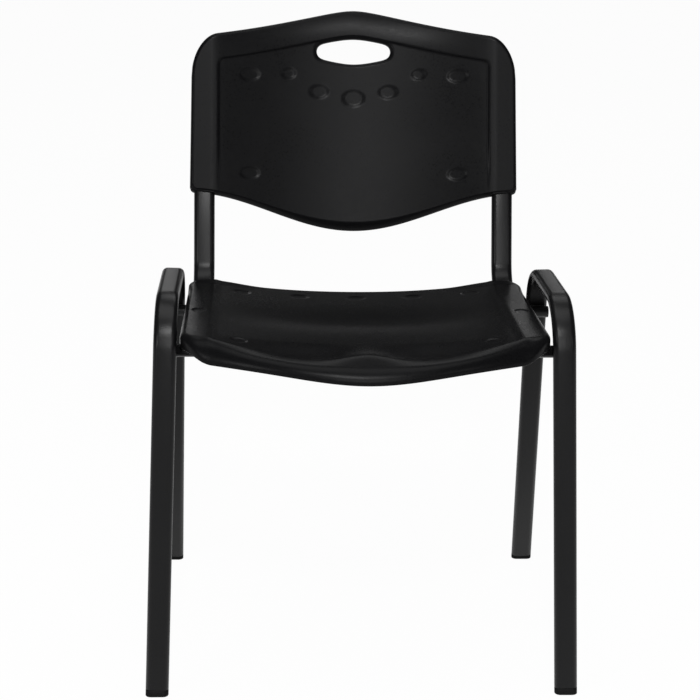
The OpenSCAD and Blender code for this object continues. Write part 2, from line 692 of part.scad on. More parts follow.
// Sleeve over an upright: a rounded bar behind the panel that runs out in a ramp on top
module sleeve(outline) {
    wall = tube_t / 2 + pocket_gap + back_t;
    w = rail_spread / 2 + tube_w / 2 + sleeve_rim - sleeve_in;
    h = 2 * wall - back_t / 2;
    ramp_s = upright_len + sleeve_cap;
    intersection() {
        through_back(outline, -wall, wall + over);
        translate([sleeve_in + w / 2, wall - h / 2, 0]) linear_extrude(height = back_top) {
            square([w - 2 * sleeve_r, h], center = true);
            square([w, h - 2 * sleeve_r], center = true);
            for (a = [-1, 1]) for (b = [-1, 1])
                translate([a * (w / 2 - sleeve_r), b * (h / 2 - sleeve_r)]) circle(r = sleeve_r);
        }
        stand_up() linear_extrude(height = back_w) polygon([[-wall, 0], [wall + over, 0],
            [wall + over, ramp_s - over], [wall, ramp_s], [-wall, ramp_s + sleeve_ramp]]);
    }
}

module backrest_shell() {
    outline = [for (k = [0 : back_loop - 1]) back_edge(k) * (1 - over / back_w)
        + [0, over * back_top / back_w / 2]];
    color(shell_black) in_chair() in_back() difference() {
        union() {
            back_panel();
            hole_rim();
            for (s = [0, 1]) mirror([s, 0, 0]) sleeve(outline);
        }
        for (s = [0, 1]) mirror([s, 0, 0]) pocket();
        through_back(hole_points(0), -tube_w, 2 * tube_w);
        back_dimples();
        for (s = [-1, 1]) translate([s * rail_spread / 2, tube_t / 2 + pocket_gap + back_t + over,
                back_screw_s])
            rotate([90, 0, 0]) cylinder(d = screw_d + 2 * screw_gap, h = back_t + 2 * over);
    }
}

module left_side_frame() { on_left() side_frame(); }
module right_side_frame() { side_frame(); }
module left_back_tube() { on_left() back_tube(); }
module right_back_tube() { back_tube(); }
module front_cross_tube() { cross_tube(front_bar); }
module rear_cross_tube() { cross_tube(rear_bar); }
module left_front_foot() { on_left() foot(front_foot, front_up); }
module right_front_foot() { foot(front_foot, front_up); }
module left_rear_foot() { on_left() foot(rear_foot, rear_up); }
module right_rear_foot() { foot(rear_foot, rear_up); }
module left_tube_plug() { on_left() tube_plug(); }
module right_tube_plug() { tube_plug(); }

seat_shell();
backrest_shell();
left_side_frame();
right_side_frame();
left_back_tube();
right_back_tube();
front_cross_tube();
rear_cross_tube();
frame_welds();
left_front_foot();
right_front_foot();
left_rear_foot();
right_rear_foot();
left_tube_plug();
right_tube_plug();
seat_screws();
backrest_screws();
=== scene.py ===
# %% [markdown]
# # A stacking choir chair, made again around its CAD model
# The chair is a black steel frame of flat oval tube with a moulded seat and a moulded
# backrest. The CAD model gives the sizes. This file makes the same pieces again as fine
# surfaces, because a moulded shell with dimples, rolled rims and a soft shine needs many
# more faces than a construction model. Each shape is a formula on a grid of two
# parameters, worked out for the whole grid at once. Where a shell is softer here than in
# the CAD model, the note on it says so.

# %% Load the fixed frame
import math
import bpy
import numpy as np
from mathutils import Matrix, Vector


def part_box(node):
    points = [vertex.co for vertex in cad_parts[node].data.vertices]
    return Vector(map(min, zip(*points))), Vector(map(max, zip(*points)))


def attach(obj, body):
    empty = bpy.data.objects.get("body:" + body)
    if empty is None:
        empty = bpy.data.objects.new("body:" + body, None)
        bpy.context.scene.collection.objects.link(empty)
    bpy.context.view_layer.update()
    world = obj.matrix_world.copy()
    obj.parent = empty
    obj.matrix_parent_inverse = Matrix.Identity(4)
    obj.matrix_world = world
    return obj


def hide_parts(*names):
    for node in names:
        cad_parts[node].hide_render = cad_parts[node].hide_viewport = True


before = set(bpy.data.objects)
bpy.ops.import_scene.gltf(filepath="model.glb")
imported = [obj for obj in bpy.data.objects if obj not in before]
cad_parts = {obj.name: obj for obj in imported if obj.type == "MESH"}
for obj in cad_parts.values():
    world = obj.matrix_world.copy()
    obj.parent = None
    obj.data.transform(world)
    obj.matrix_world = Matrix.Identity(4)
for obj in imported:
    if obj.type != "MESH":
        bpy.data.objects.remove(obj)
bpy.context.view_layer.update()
print("CAD nodes:", len(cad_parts))

# %% [markdown]
# ## Sizes
# The sizes are the CAD model's, in millimetres. "Chair" points have y = 0 midway between
# the front and rear feet, as a chair maker would measure, while the model's origin lies
# under the middle of its box. The front edge of the seat is in both, so it gives the
# shift between the two.

# %% Sizes of tube, frame and shells
MM = 0.001
TUBE_W, TUBE_T, TUBE_WALL = 30.0, 15.0, 1.5
RAIL_SPREAD, RAIL_H, SEAT_FALL, RECLINE = 434.0, 451.5, 2.9, 15.6
RAIL_BEND_R, BEND_Y, UPRIGHT_LEN = 45.0, 199.6, 310.0
FOOT_OFFSET, FOOT_PITCH, SIDE_LEAN = 51.0, 460.0, 1.55
FOOT_SPREAD = RAIL_SPREAD + 2 * FOOT_OFFSET
ARM_RISE, ARM_FALL, FRONT_RAKE, REAR_RAKE = 47.0, 2.1, 8.9, 15.4
ARM_H = RAIL_H + ARM_RISE
FRONT_BEND_R, REAR_BEND_R = 65.0, 72.0
BAR_D, BAR_WALL, WELD_GAP = 16.0, 1.5, 0.2
FOOT_H, PLUG_DEPTH = 8.0, 20.0
SCREW_D, SCREW_HEAD_D, SCREW_HEAD_H = 5.0, 10.5, 3.2
SEAT_BRIM, BACK_BRIM, SEAT_NOSE, TAIL_GAP = 20.0, 21.0, 117.3, 29.6
print("feet:", FOOT_SPREAD, "mm apart, arms:", ARM_H, "mm high")

# %% [markdown]
# Seen from the side, the frame is a few straight lines: the legs, the top run between
# them and the rail under the seat. Where two of them cross, and where a cross tube
# touches both a leg and a rail, follows from their angles, so one function that meets
# two lines finds every bend and both cross tubes.

# %% Lines of the frame, seen from the side
def heading(a):
    """Unit vector [y, z] at a degrees from +y towards +z."""
    return np.array([math.cos(math.radians(a)), math.sin(math.radians(a))])


def left_of(a):
    """Unit vector [y, z] a quarter turn to the left of that heading."""
    return heading(a + 90)


def meet(p, a, q, b):
    """Where the line through p along heading a meets the line through q along b."""
    along = np.column_stack([heading(a), -heading(b)])
    return np.asarray(p) + heading(a) * np.linalg.solve(along, np.subtract(q, p))[0]


def rail_z(y):
    """Height of the rails' middle line at y: it falls rearwards by the seat's angle."""
    return RAIL_H - y * math.tan(math.radians(SEAT_FALL))


FRONT_UP, REAR_UP = 90 - FRONT_RAKE, 90 + REAR_RAKE
FRONT_FOOT, REAR_FOOT = np.array([-FOOT_PITCH / 2, 0]), np.array([FOOT_PITCH / 2, 0])
TOUCH = TUBE_T / 2 + WELD_GAP + BAR_D / 2
RAIL_LINE = np.array([0, RAIL_H]) - left_of(-SEAT_FALL) * TOUCH
FRONT_BAR = meet(FRONT_FOOT - left_of(FRONT_UP) * TOUCH, FRONT_UP, RAIL_LINE, -SEAT_FALL)
REAR_BAR = meet(REAR_FOOT + left_of(REAR_UP) * TOUCH, REAR_UP, RAIL_LINE, -SEAT_FALL)
BEND_AT = np.array([BEND_Y, rail_z(BEND_Y)])
SEAT_W, BACK_W = RAIL_SPREAD + 2 * SEAT_BRIM, RAIL_SPREAD + 2 * BACK_BRIM
SEAT_REACH, SEAT_TAIL = SEAT_NOSE - FRONT_BAR[0], BEND_Y - TAIL_GAP
MIDDLE = -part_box("seat_shell")[0][1] / MM - SEAT_REACH
print("cross tubes at y, z:", FRONT_BAR.round(1), REAR_BAR.round(1))
print("model origin lies at chair y =", round(MIDDLE, 2))

# %% [markdown]
# ## Shader maths as plain expressions
# A finish is a sum of patterns. Written with nodes alone it is hard to read, so one small
# class wraps a socket and lets Python's own operators add the Math nodes. Colours go
# through Mix nodes, because a Math node would turn them grey.

# %% A socket that can be added and multiplied
def operator(operation, swapped=False):
    """A method that adds the Math node of that operation, with its inputs in order."""
    def apply(self, other):
        first, second = (other, self) if swapped else (self, other)
        return self.graph.node("ShaderNodeMath", {0: first, 1: second},
                               operation=operation)
    return apply


class Value:
    """A node's output, for use in sums."""

    def __init__(self, graph, socket):
        self.graph, self.socket = graph, socket

    __add__ = operator("ADD")
    __radd__ = operator("ADD", swapped=True)
    __mul__ = operator("MULTIPLY")
    __rmul__ = operator("MULTIPLY", swapped=True)
    at_least = operator("MAXIMUM")


class Graph:
    """The nodes of one material."""

    def __init__(self, name):
        self.material = bpy.data.materials.new(name)
        self.material.use_nodes = True
        self.tree = self.material.node_tree
        self.tree.nodes.clear()

    def node(self, kind, inputs=None, out=0, **settings):
        """Adds a node, sets its settings, then its sockets, and gives one output."""
        made = self.tree.nodes.new(kind)
        for key, value in settings.items():
            setattr(made, key, value)
        for key, value in (inputs or {}).items():
            if isinstance(value, Value):
                self.tree.links.new(value.socket, made.inputs[key])
            else:
                made.inputs[key].default_value = value
        return Value(self, made.outputs[out])

    def noise(self, scale, detail):
        """A noise of that many cells a metre, from 0 to 1, on Object coordinates."""
        at = self.node("ShaderNodeTexCoord", out="Object")
        return self.node("ShaderNodeTexNoise", {"Vector": at, "Scale": scale,
                         "Detail": detail})

    def tint(self, share, dark, light):
        """A colour between two, by a share from 0 to 1."""
        return self.node("ShaderNodeMix", {"Factor": share, "A": (*dark, 1),
                         "B": (*light, 1)}, out="Result", data_type="RGBA")

    def bump(self, height, distance):
        """Normals of a skin whose height from 0 to 1 spans that distance in metres."""
        return self.node("ShaderNodeBump", {"Height": height, "Distance": distance,
                         "Strength": 1.0})

    def surface(self, **sockets):
        """The one Principled shader, with the given sockets, to the output."""
        named = {key.replace("_", " "): value for key, value in sockets.items()}
        return self.finish(self.node("ShaderNodeBsdfPrincipled", named))

    def finish(self, shader):
        """Links a shader to the material's output and gives the material."""
        end = self.tree.nodes.new("ShaderNodeOutputMaterial")
        self.tree.links.new(shader.socket, end.inputs["Surface"])
        return self.material


print("shader maths ready")

# %% [markdown]
# ## The finishes
# The shells are satin black polypropylene. Their moulds are etched, so the skin has a
# very fine grain that breaks up reflections, and the flow of the melt leaves the shine a
# little uneven. The frame is powder coated: shinier than the shells, with the faint
# orange peel that powder gets when it melts. Grain and peel are about a millimetre
# across and only hundredths deep, so they are bump, and not geometry.

# %% Black polypropylene with an etched grain
def moulded_black(name, colour, lighter, rough, grain):
    """Grain: two noises of about 0.9 and 0.35 mm, 7 to 3. Shine: a slow flow of some
    80 mm and a mottle of about 3 mm, with a little of the grain. The noises average a
    half, so the last term brings their sum back to the roughness asked for."""
    g = Graph(name)
    coarse, fine = g.noise(1100.0, 3.0), g.noise(2900.0, 1.0)
    flow, mottle = g.noise(12.0, 3.0), g.noise(330.0, 2.0)
    height = coarse * 0.7 + fine * 0.3
    return g.surface(
        Base_Color=g.tint(flow * 0.4 + mottle * 0.6, colour, lighter),
        Roughness=flow * 0.10 + height * 0.06 + mottle * 0.2 + (rough - 0.18),
        Specular_IOR_Level=0.066,
        Normal=g.bump(height, grain * MM))


shell_black = moulded_black("black_polypropylene", (0.003, 0.003, 0.0033),
                            (0.005, 0.005, 0.0055), 0.31, 0.022)
cap_black = moulded_black("black_cap_plastic", (0.005, 0.005, 0.005),
                          (0.009, 0.009, 0.009), 0.58, 0.04)
print("plastics:", shell_black.name, cap_black.name)

# %% Black powder coat and zinc
def powder_coat():
    """Peel: noises of about 1.6 and 0.4 mm, 8 to 2. The shine drifts over 110 mm."""
    g = Graph("black_powder_coat")
    peel, fine, drift = g.noise(620.0, 2.0), g.noise(2400.0, 1.0), g.noise(9.0, 2.0)
    return g.surface(
        Base_Color=g.tint(drift, (0.003, 0.003, 0.0033), (0.006, 0.006, 0.0064)),
        Roughness=drift * 0.06 + fine * 0.04 + 0.27,
        Specular_IOR_Level=0.175,
        Normal=g.bump(peel * 0.8 + fine * 0.2, 0.09 * MM))


def zinc_plate():
    """Bright zinc with cloudy patches of about 4 mm, as barrel-plated screws have."""
    g = Graph("zinc_plated_steel")
    cloud, fine = g.noise(260.0, 3.0), g.noise(1800.0, 1.0)
    return g.surface(
        Base_Color=g.tint(cloud, (0.42, 0.43, 0.45), (0.60, 0.61, 0.63)),
        Metallic=1.0,
        Roughness=cloud * 0.16 + 0.24,
        Normal=g.bump(fine, 0.02 * MM))


frame_black, zinc = powder_coat(), zinc_plate()
print("metals:", frame_black.name, zinc.name)

# %% [markdown]
# ## From a grid of points to a piece
# Every shape below ends as rows of points. Neighbouring rows and columns make quads, and
# a row can close on itself, as round a tube. One function turns the points into a mesh in
# metres, at the model's origin, gives it a finish and lets it ride on the frame's body.
# The chair's two halves mirror each other, so a side piece is made once for the right
# and mirrored for the left. Mirroring turns a surface inside out, so the order of each
# face's corners is turned round as well.

# %% Grids and meshes
def quads(rows, cols, wrap_rows=False, wrap_cols=False, first=0):
    """Cell (r, c) of a grid numbered row by row joins (r, c), (r, c+1), (r+1, c+1)
    and (r+1, c), where a wrapped direction takes its numbers modulo its count."""
    r = np.arange(rows if wrap_rows else rows - 1)[:, None]
    c = np.arange(cols if wrap_cols else cols - 1)[None, :]
    r2, c2 = (r + 1) % rows, (c + 1) % cols
    corners = (r * cols + c, r * cols + c2, r2 * cols + c2, r2 * cols + c)
    return np.stack(np.broadcast_arrays(*corners), -1).reshape(-1, 4) + first


def volume(mesh):
    """Volume in cm3 by the divergence rule: above zero when the faces point outwards."""
    mesh.calc_loop_triangles()
    co = np.empty(len(mesh.vertices) * 3)
    mesh.vertices.foreach_get("co", co)
    tri = np.empty(len(mesh.loop_triangles) * 3, int)
    mesh.loop_triangles.foreach_get("vertices", tri)
    a, b, c = co.reshape(-1, 3)[tri].reshape(-1, 3, 3).transpose(1, 0, 2)
    return float(np.einsum("ij,ij->i", a, np.cross(b, c)).sum() / 6) * 1e6


def put(name, points, faces, material, node):
    """A piece from chair points in mm. It stands for that CAD node."""
    places = (np.asarray(points).reshape(-1, 3) - [0, MIDDLE, 0]) * MM
    mesh = bpy.data.meshes.new(name)
    mesh.from_pydata(places.tolist(), [], [list(map(int, f)) for f in faces])
    mesh.polygons.foreach_set("use_smooth", np.ones(len(mesh.polygons), bool))
    mesh.materials.append(material)
    piece = bpy.data.objects.new(name, mesh)
    bpy.context.scene.collection.objects.link(piece)
    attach(piece, "root")
    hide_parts(node)
    print(f"{name}: {len(mesh.polygons)} faces, {volume(mesh):.2f} cm3")


print("grid tools ready")

# %% Closed rods and mirrored pairs
def closed_rod(rings, around, first=0):
    """Faces of rings in a row, each closed on itself, with a flat face over the first
    ring and over the last. The points are numbered from first on."""
    ends = np.array([np.arange(around)[::-1], (rings - 1) * around + np.arange(around)])
    return quads(rings, around, wrap_cols=True, first=first).tolist() \
        + (ends + first).tolist()


def halves(rows, faces):
    """Side, points and faces of a right piece, then of its mirror image on the left."""
    return (("right", rows, faces),
            ("left", rows * [-1, 1, 1], [face[::-1] for face in faces]))


def both_sides(stem, rows, faces, material):
    """A right and a left piece, each of which stands for the CAD node of its name."""
    for side, points, turned in halves(rows, faces):
        name = f"{side}_{stem}"
        put(name, points, turned, material, name)


print("rod and pair tools ready")

# %% [markdown]
# ## Bent tube
# A mandrel bender makes a tube from straights and round bends in one plane, so its path
# is a list of lengths and turns. The section is carried along it: out over the outer
# wall, round the cut end, and back along the bore, which closes the surface on itself.

# %% A plane path and a section carried along it
CUT_LIP = 0.35


def walk(start, angle, steps, per_bend=40):
    """Points and headings along steps of (length, 0) or (radius, turn in degrees)."""
    points, angles = [np.array([start])], [np.array([angle])]
    for size, turn in steps:
        here, now = points[-1][-1], angles[-1][-1]
        if turn == 0:
            points.append(here[None] + heading(now) * size)
            angles.append(np.array([now]))
            continue
        side = math.copysign(1.0, turn)
        centre = here + left_of(now) * side * size
        a = now + turn * np.arange(1, per_bend + 1) / per_bend
        spoke = np.radians(a - 90 * side)
        points.append(centre + size * np.column_stack([np.cos(spoke), np.sin(spoke)]))
        angles.append(a)
    return np.concatenate(points), np.concatenate(angles)


def oval(w, t, half=14):
    """A flat oval's outline [across, through]: half circles of t joined by straights."""
    a = np.radians(np.linspace(-90, 90, half))
    right = np.column_stack([np.cos(a) * t / 2 + (w - t) / 2, np.sin(a) * t / 2])
    return np.concatenate([right, -right])


def carry(points, angles, section):
    """Each path point plus the section: across along x, through along the left side."""
    side = np.radians(angles + 90)
    normal = np.column_stack([np.cos(side), np.sin(side)])
    out = np.empty((len(points), len(section), 3))
    out[..., 0] = section[None, :, 0]
    out[..., 1:] = points[:, None] + normal[:, None] * section[None, :, 1:2]
    return out


def tube_skin(points, angles):
    """Rows over the outer wall, then back inside, with a small chamfer at both ends."""
    outer, chamfer, bore = (oval(TUBE_W - 2 * inset, TUBE_T - 2 * inset)
                            for inset in (0.0, CUT_LIP, TUBE_WALL))
    near = points.copy()
    near[0] = points[0] + heading(angles[0]) * CUT_LIP
    near[-1] = points[-1] - heading(angles[-1]) * CUT_LIP
    rows = np.concatenate([carry(near, angles, outer),
                           carry(points[-1:], angles[-1:], chamfer),
                           carry(points[::-1], angles[::-1], bore),
                           carry(points[:1], angles[:1], chamfer)])
    return rows, quads(len(rows), rows.shape[1], wrap_rows=True, wrap_cols=True)


def lean(rows):
    """The right side frame's plane: turned about y by the lean, at the feet's spread."""
    a, x, z = math.radians(SIDE_LEAN), rows[..., 0], rows[..., 2]
    return np.stack([FOOT_SPREAD / 2 + x * math.cos(a) - z * math.sin(a), rows[..., 1],
                     x * math.sin(a) + z * math.cos(a)], -1)


print("tube tools ready")

# %% Side frames
def corner(r, a, b):
    """Length from a corner to where its round of radius r starts."""
    return r * math.tan(math.radians(abs(b - a) / 2))


ARM_FRONT = meet(FRONT_FOOT, FRONT_UP, [0, ARM_H], -ARM_FALL)
ARM_REAR = meet(REAR_FOOT, REAR_UP, [0, ARM_H], -ARM_FALL)
DOWN = REAR_UP - 180
front_cut = corner(FRONT_BEND_R, FRONT_UP, -ARM_FALL)
rear_cut = corner(REAR_BEND_R, -ARM_FALL, DOWN)
side_path = walk(FRONT_FOOT + heading(FRONT_UP) * FOOT_H, FRONT_UP, [
    (np.linalg.norm(ARM_FRONT - FRONT_FOOT) - front_cut - FOOT_H, 0),
    (FRONT_BEND_R, -ARM_FALL - FRONT_UP),
    (np.linalg.norm(ARM_REAR - ARM_FRONT) - front_cut - rear_cut, 0),
    (REAR_BEND_R, DOWN + ARM_FALL),
    (np.linalg.norm(ARM_REAR - REAR_FOOT) - rear_cut - FOOT_H, 0)])
rows, faces = tube_skin(*side_path)
both_sides("side_frame", lean(rows), faces, frame_black)

# %% Back tubes
RAIL_NOSE = 1.0
rail_y = FRONT_BAR[0] - BAR_D / 2 - RAIL_NOSE
RAIL_START = np.array([rail_y, rail_z(rail_y)])
UPRIGHT_A = 90 - RECLINE
rail_cut = corner(RAIL_BEND_R, -SEAT_FALL, UPRIGHT_A)
rail_path = walk(RAIL_START, -SEAT_FALL, [
    (np.linalg.norm(BEND_AT - RAIL_START) - rail_cut, 0),
    (RAIL_BEND_R, UPRIGHT_A + SEAT_FALL),
    (UPRIGHT_LEN - rail_cut, 0)])
rows, faces = tube_skin(*rail_path)
both_sides("back_tube", rows + [RAIL_SPREAD / 2, 0, 0], faces, frame_black)

# %% [markdown]
# ## Cross tubes and welds
# Two round tubes join the sides. They touch flat faces, so the welder lays a bead into
# each of the two wedges beside a contact. A bead is a row of small overlapping puddles,
# which shows as ripples across its run and a rounded start and stop.

# %% Cross tubes
def leg_x(z):
    """How far a leg's middle line lies from the chair's middle plane at a height."""
    return FOOT_SPREAD / 2 - z * math.tan(math.radians(SIDE_LEAN))


def round_rows(x, r, around):
    """Rings about the x axis, of radius r at place x: y = -r sin a, z = r cos a."""
    a = np.linspace(0, 2 * np.pi, around, endpoint=False)
    x, r = np.asarray(x)[:, None], np.asarray(r)[:, None]
    return np.stack(np.broadcast_arrays(x, -r * np.sin(a), r * np.cos(a)), -1)


def cross_tube(name, at, around=40):
    """Rings in turn along the outer wall, over a cut end, back along the bore and over
    the other cut end."""
    half, big, small = leg_x(at[1]) + TUBE_W / 2, BAR_D / 2, BAR_D / 2 - BAR_WALL
    x = [-half + CUT_LIP, half - CUT_LIP, half, half, -half, -half]
    r = [big, big, big - CUT_LIP, small, small, big - CUT_LIP]
    put(name, round_rows(x, r, around) + [0, *at], quads(len(x), around, True, True),
        frame_black, name)


cross_tube("front_cross_tube", FRONT_BAR)
cross_tube("rear_cross_tube", REAR_BAR)

# %% Weld beads
BEAD_R, BEAD_X, BEAD_Y = 2.6, 5.4, 2.0
RIPPLE, RIPPLE_SHARE, BEAD_BLUNT = 1.9, 0.05, 0.02
BEAD_RINGS, BEAD_AROUND = 44, 14


def bead():
    """A rod along x whose radius swells with each puddle and closes at both ends:
    r = R * sqrt(1 - e**8) * (1 + 0.05 cos(2 pi x / ripple)), e from -1 to 1. The root
    keeps to a small least value, so that the end has a flat spot."""
    half = (TUBE_W - TUBE_T) / 2 + BEAD_R
    e = np.linspace(-1, 1, BEAD_RINGS)
    r = BEAD_R * np.sqrt(np.maximum(1 - e ** 8, BEAD_BLUNT)) \
        * (1 + RIPPLE_SHARE * np.cos(2 * np.pi * e * half / RIPPLE))
    return round_rows(e * half, r, BEAD_AROUND)


# Each contact: the bar, the heading of the flat face that it touches, and its place.
contacts = [(FRONT_BAR, FRONT_UP + 180, leg_x(FRONT_BAR[1])),
            (REAR_BAR, REAR_UP, leg_x(REAR_BAR[1])),
            (FRONT_BAR, 180 - SEAT_FALL, RAIL_SPREAD / 2),
            (REAR_BAR, 180 - SEAT_FALL, RAIL_SPREAD / 2)]
one, rods, rod_faces = bead(), [], []
for side in (-1, 1):
    for bar, face, x in contacts:
        foot = bar - left_of(face) * (WELD_GAP + BAR_D / 2)
        for s in (-1, 1):
            at = foot + heading(face) * s * BEAD_X + left_of(face) * BEAD_Y
            rod_faces += closed_rod(BEAD_RINGS, BEAD_AROUND,
                                    first=len(rods) * BEAD_RINGS * BEAD_AROUND)
            rods.append(one + [side * x, *at])
put("frame_welds", np.concatenate(rods), rod_faces, frame_black, "frame_welds")

# %% [markdown]
# ## Foot caps, plugs and screws
# A foot cap has the tube's own outline and a ribbed spigot that grips the bore. It is
# cut level with the floor, so each point of its outline slides down the leg's line until
# it meets the floor, and the rim is rounded so that it doesn't mark the floor.

# %% Caps with ribbed spigots
PLUG_GAP, PLUG_RIB, PLUG_SKIN = 0.25, 0.8, 2.0
GRIP = TUBE_WALL + PLUG_GAP
BARE = GRIP + PLUG_RIB
CAP_RIM, CAP_EDGE, RIB_EASE, FLOOR_ROWS = 0.7, 0.4, 0.3, 3


def plug_profile(cap):
    """Pairs (place along the tube, inset): the rounded rim, the cap's side, a shoulder,
    three ribs that grip, and down inside the spigot, which is open at its top."""
    rows = [(-cap, CAP_RIM), (-cap + 0.25, 0.2), (-cap + CAP_RIM, 0.0),
            (-CAP_EDGE, 0.0), (0.0, CAP_EDGE), (0.0, BARE)]
    for k in (1, 2, 3):
        z = k * PLUG_DEPTH / 4
        rows += [(z, BARE), (z + RIB_EASE, GRIP), (z + PLUG_SKIN - RIB_EASE, GRIP),
                 (z + PLUG_SKIN, BARE)]
    return rows + [(PLUG_DEPTH, BARE), (PLUG_DEPTH, BARE + PLUG_SKIN),
                   (PLUG_SKIN, BARE + PLUG_SKIN)]


def plug(at, up, cap, floor=False):
    """The tube's outline, drawn in by each inset at each place. On a foot the first
    rows slide along the leg until they are level with the floor."""
    sections, a, tilt = [], math.radians(up), math.tan(math.radians(SIDE_LEAN))
    for k, (z, inset) in enumerate(plug_profile(cap)):
        edge = oval(TUBE_W - 2 * inset, TUBE_T - 2 * inset)
        place = np.full(len(edge), z)
        if floor and k < FLOOR_ROWS:
            height = at[1] + edge[:, 1] * math.cos(a) + edge[:, 0] * tilt
            place = (z + cap - height) / math.sin(a)
        p = np.asarray(at) + edge[:, 1:] * left_of(up) + place[:, None] * heading(up)
        sections.append(np.column_stack([edge[:, 0], p]))
    return np.array(sections), closed_rod(len(sections), len(sections[0]))


for stem, foot, up in (("front_foot", FRONT_FOOT, FRONT_UP),
                       ("rear_foot", REAR_FOOT, REAR_UP)):
    rows, faces = plug(foot + heading(up) * FOOT_H, up, FOOT_H, floor=True)
    both_sides(stem, lean(rows), faces, cap_black)
rows, faces = plug(RAIL_START, -SEAT_FALL, PLUG_SKIN)
both_sides("tube_plug", rows + [RAIL_SPREAD / 2, 0, 0], faces, cap_black)

# %% [markdown]
# The screws are pan heads with a cross recess. Seen from below, the head is a height over
# a disc: a low dome, minus a cross whose arms get shallower outwards.

# %% Pan head screws
HEAD_EASE, HEAD_EDGE, POINT_EASE = 0.45, 0.2, 0.6
CROSS_DEEP, ARM_HALF, ARM_FLANK, ARM_REACH, ARM_RUN = 1.7, 0.95, 0.3, 2.9, 0.8


def screw(length, rings=16, around=64):
    """Head: the dome h = H (1 - 0.45 (r / R)**4), less a recess of full depth where the
    nearer arm of the cross is close and the middle not far. Local z points along the
    shank, and the head hangs below z = 0."""
    a = np.linspace(0, 2 * np.pi, around, endpoint=False)
    r = np.linspace(0.05, 1, rings)[:, None] * SCREW_HEAD_D / 2
    off_arm = np.minimum(abs(np.sin(a)), abs(np.cos(a))) * r
    recess = CROSS_DEEP * np.clip((ARM_HALF - off_arm) / ARM_FLANK, 0, 1) \
        * np.clip((ARM_REACH - r) / ARM_RUN, 0, 1)
    top = SCREW_HEAD_H * (1 - HEAD_EASE * (2 * r / SCREW_HEAD_D) ** 4)
    head = np.stack(np.broadcast_arrays(r * np.cos(a), r * np.sin(a), recess - top), -1)
    radii = np.array([SCREW_HEAD_D / 2, SCREW_HEAD_D / 2 - HEAD_EDGE, SCREW_D / 2,
                      SCREW_D / 2, SCREW_D / 2 - POINT_EASE])[:, None]
    places = np.array([-HEAD_EDGE, 0.0, 0.0, length - POINT_EASE, length])[:, None]
    shank = np.stack(np.broadcast_arrays(radii * np.cos(a), radii * np.sin(a), places), -1)
    rows = np.concatenate([head, shank])
    return rows.reshape(-1, 3), closed_rod(len(rows), around)


def turn_x(points, degrees):
    """Points turned about the x axis: y to c y - s z and z to s y + c z."""
    c, s = math.cos(math.radians(degrees)), math.sin(math.radians(degrees))
    return points @ np.array([[1, 0, 0], [0, c, s], [0, -s, c]])


def screws(name, length, places, degrees):
    """One mesh of equal screws, each turned about x and moved to its place."""
    points, faces = screw(length)
    turned = turn_x(points, degrees)
    everywhere = np.concatenate([turned + p for p in places])
    every_face = [[k + n * len(points) for k in face]
                  for n in range(len(places)) for face in faces]
    put(name, everywhere, every_face, zinc, name)


SEAT_BITE = 3.7
under = -np.array([0, *left_of(-SEAT_FALL)]) * TUBE_T / 2
seat_places = [np.array([s * RAIL_SPREAD / 2, y, rail_z(y)]) + under
               for s in (-1, 1) for y in (REAR_BAR[0] - TUBE_W, FRONT_BAR[0] + TUBE_W)]
screws("seat_screws", TUBE_T + SEAT_BITE, seat_places, -SEAT_FALL)

# %% [markdown]
# ## The seat
# The seat lies on the two rails along its raised side bands and sags between them. At the
# front it falls away in two thigh hollows beside a low pommel, then rolls over into a
# deep soft lip. It is one height over the plan, and its edge turns down round the outline,
# so the same skin serves for both shells: an upper grid, rings over the edge, an under
# grid. Here the thigh hollows are 4 mm shallower than in the CAD model, the crest above
# the lip starts more softly, and the step inside the bands is spread wider, because
# under a soft shine each of them would otherwise show as a hard line.

# %% Shapes shared by both shells
DIMPLE_DEEP = 1.1


def step(t):
    """Smooth step from 0 at t = 0 to 1 at t = 1: t * t * (3 - 2 t)."""
    t = np.clip(t, 0, 1)
    return t * t * (3 - 2 * t)


def dome(t):
    """Bell exp(-t * t): 1 at t = 0, nearly nought past t = 2."""
    return np.exp(-t * t)


def mix(a, b, t):
    """From a at t = 0 in a straight line to b at t = 1."""
    return a + (b - a) * t


def rounded_ramp(a, bend):
    """Nought below a = 0, then a soft start over the bend: a * a / (a + bend)."""
    a = np.maximum(a, 0)
    return a * a / (a + bend)


def dimple(x, y, places, rim=2.2):
    """Round recesses (x, y, radius x, radius y): full depth inside, a rounded rim."""
    sunk = 0 * x
    for cx, cy, rx, ry in places:
        inside = (1 - np.hypot((x - cx) / rx, (y - cy) / ry)) * min(rx, ry)
        sunk = np.maximum(sunk, DIMPLE_DEEP * step(inside / rim))
    return sunk


def corner_cut(a, half, rx, ry):
    """How far an elliptical corner draws the edge in, at a from the middle."""
    t = np.clip((a - half + rx) / rx, 0, 1)
    return ry * (1 - np.sqrt(np.maximum(0, 1 - t * t)))


print("shell shapes ready, dimples:", DIMPLE_DEEP, "mm deep")

# %% From an upper skin over the edge to an under skin
def loop_cells(n, m):
    """Grid cells [i, j] once round the edge of an n by m grid."""
    a, b = np.arange(n), np.arange(m)
    sides = (a, 0 * a), (0 * b + n, b), (n - a, 0 * a + m), (0 * b, m - b)
    return np.concatenate([np.column_stack(side) for side in sides])


def spread(count, share=0.45):
    """Places from -1 to 1, closer together near both ends: a sine and a straight line
    mixed by that share."""
    f = np.linspace(-1, 1, count + 1)
    return share * np.sin(np.pi / 2 * f) + (1 - share) * f


def outward(edge):
    """Unit normals of a closed outline that runs anticlockwise."""
    d = np.roll(edge, -1, 0) - np.roll(edge, 1, 0)
    d /= np.linalg.norm(d, axis=1, keepdims=True)
    return np.column_stack([d[:, 1], -d[:, 0]])


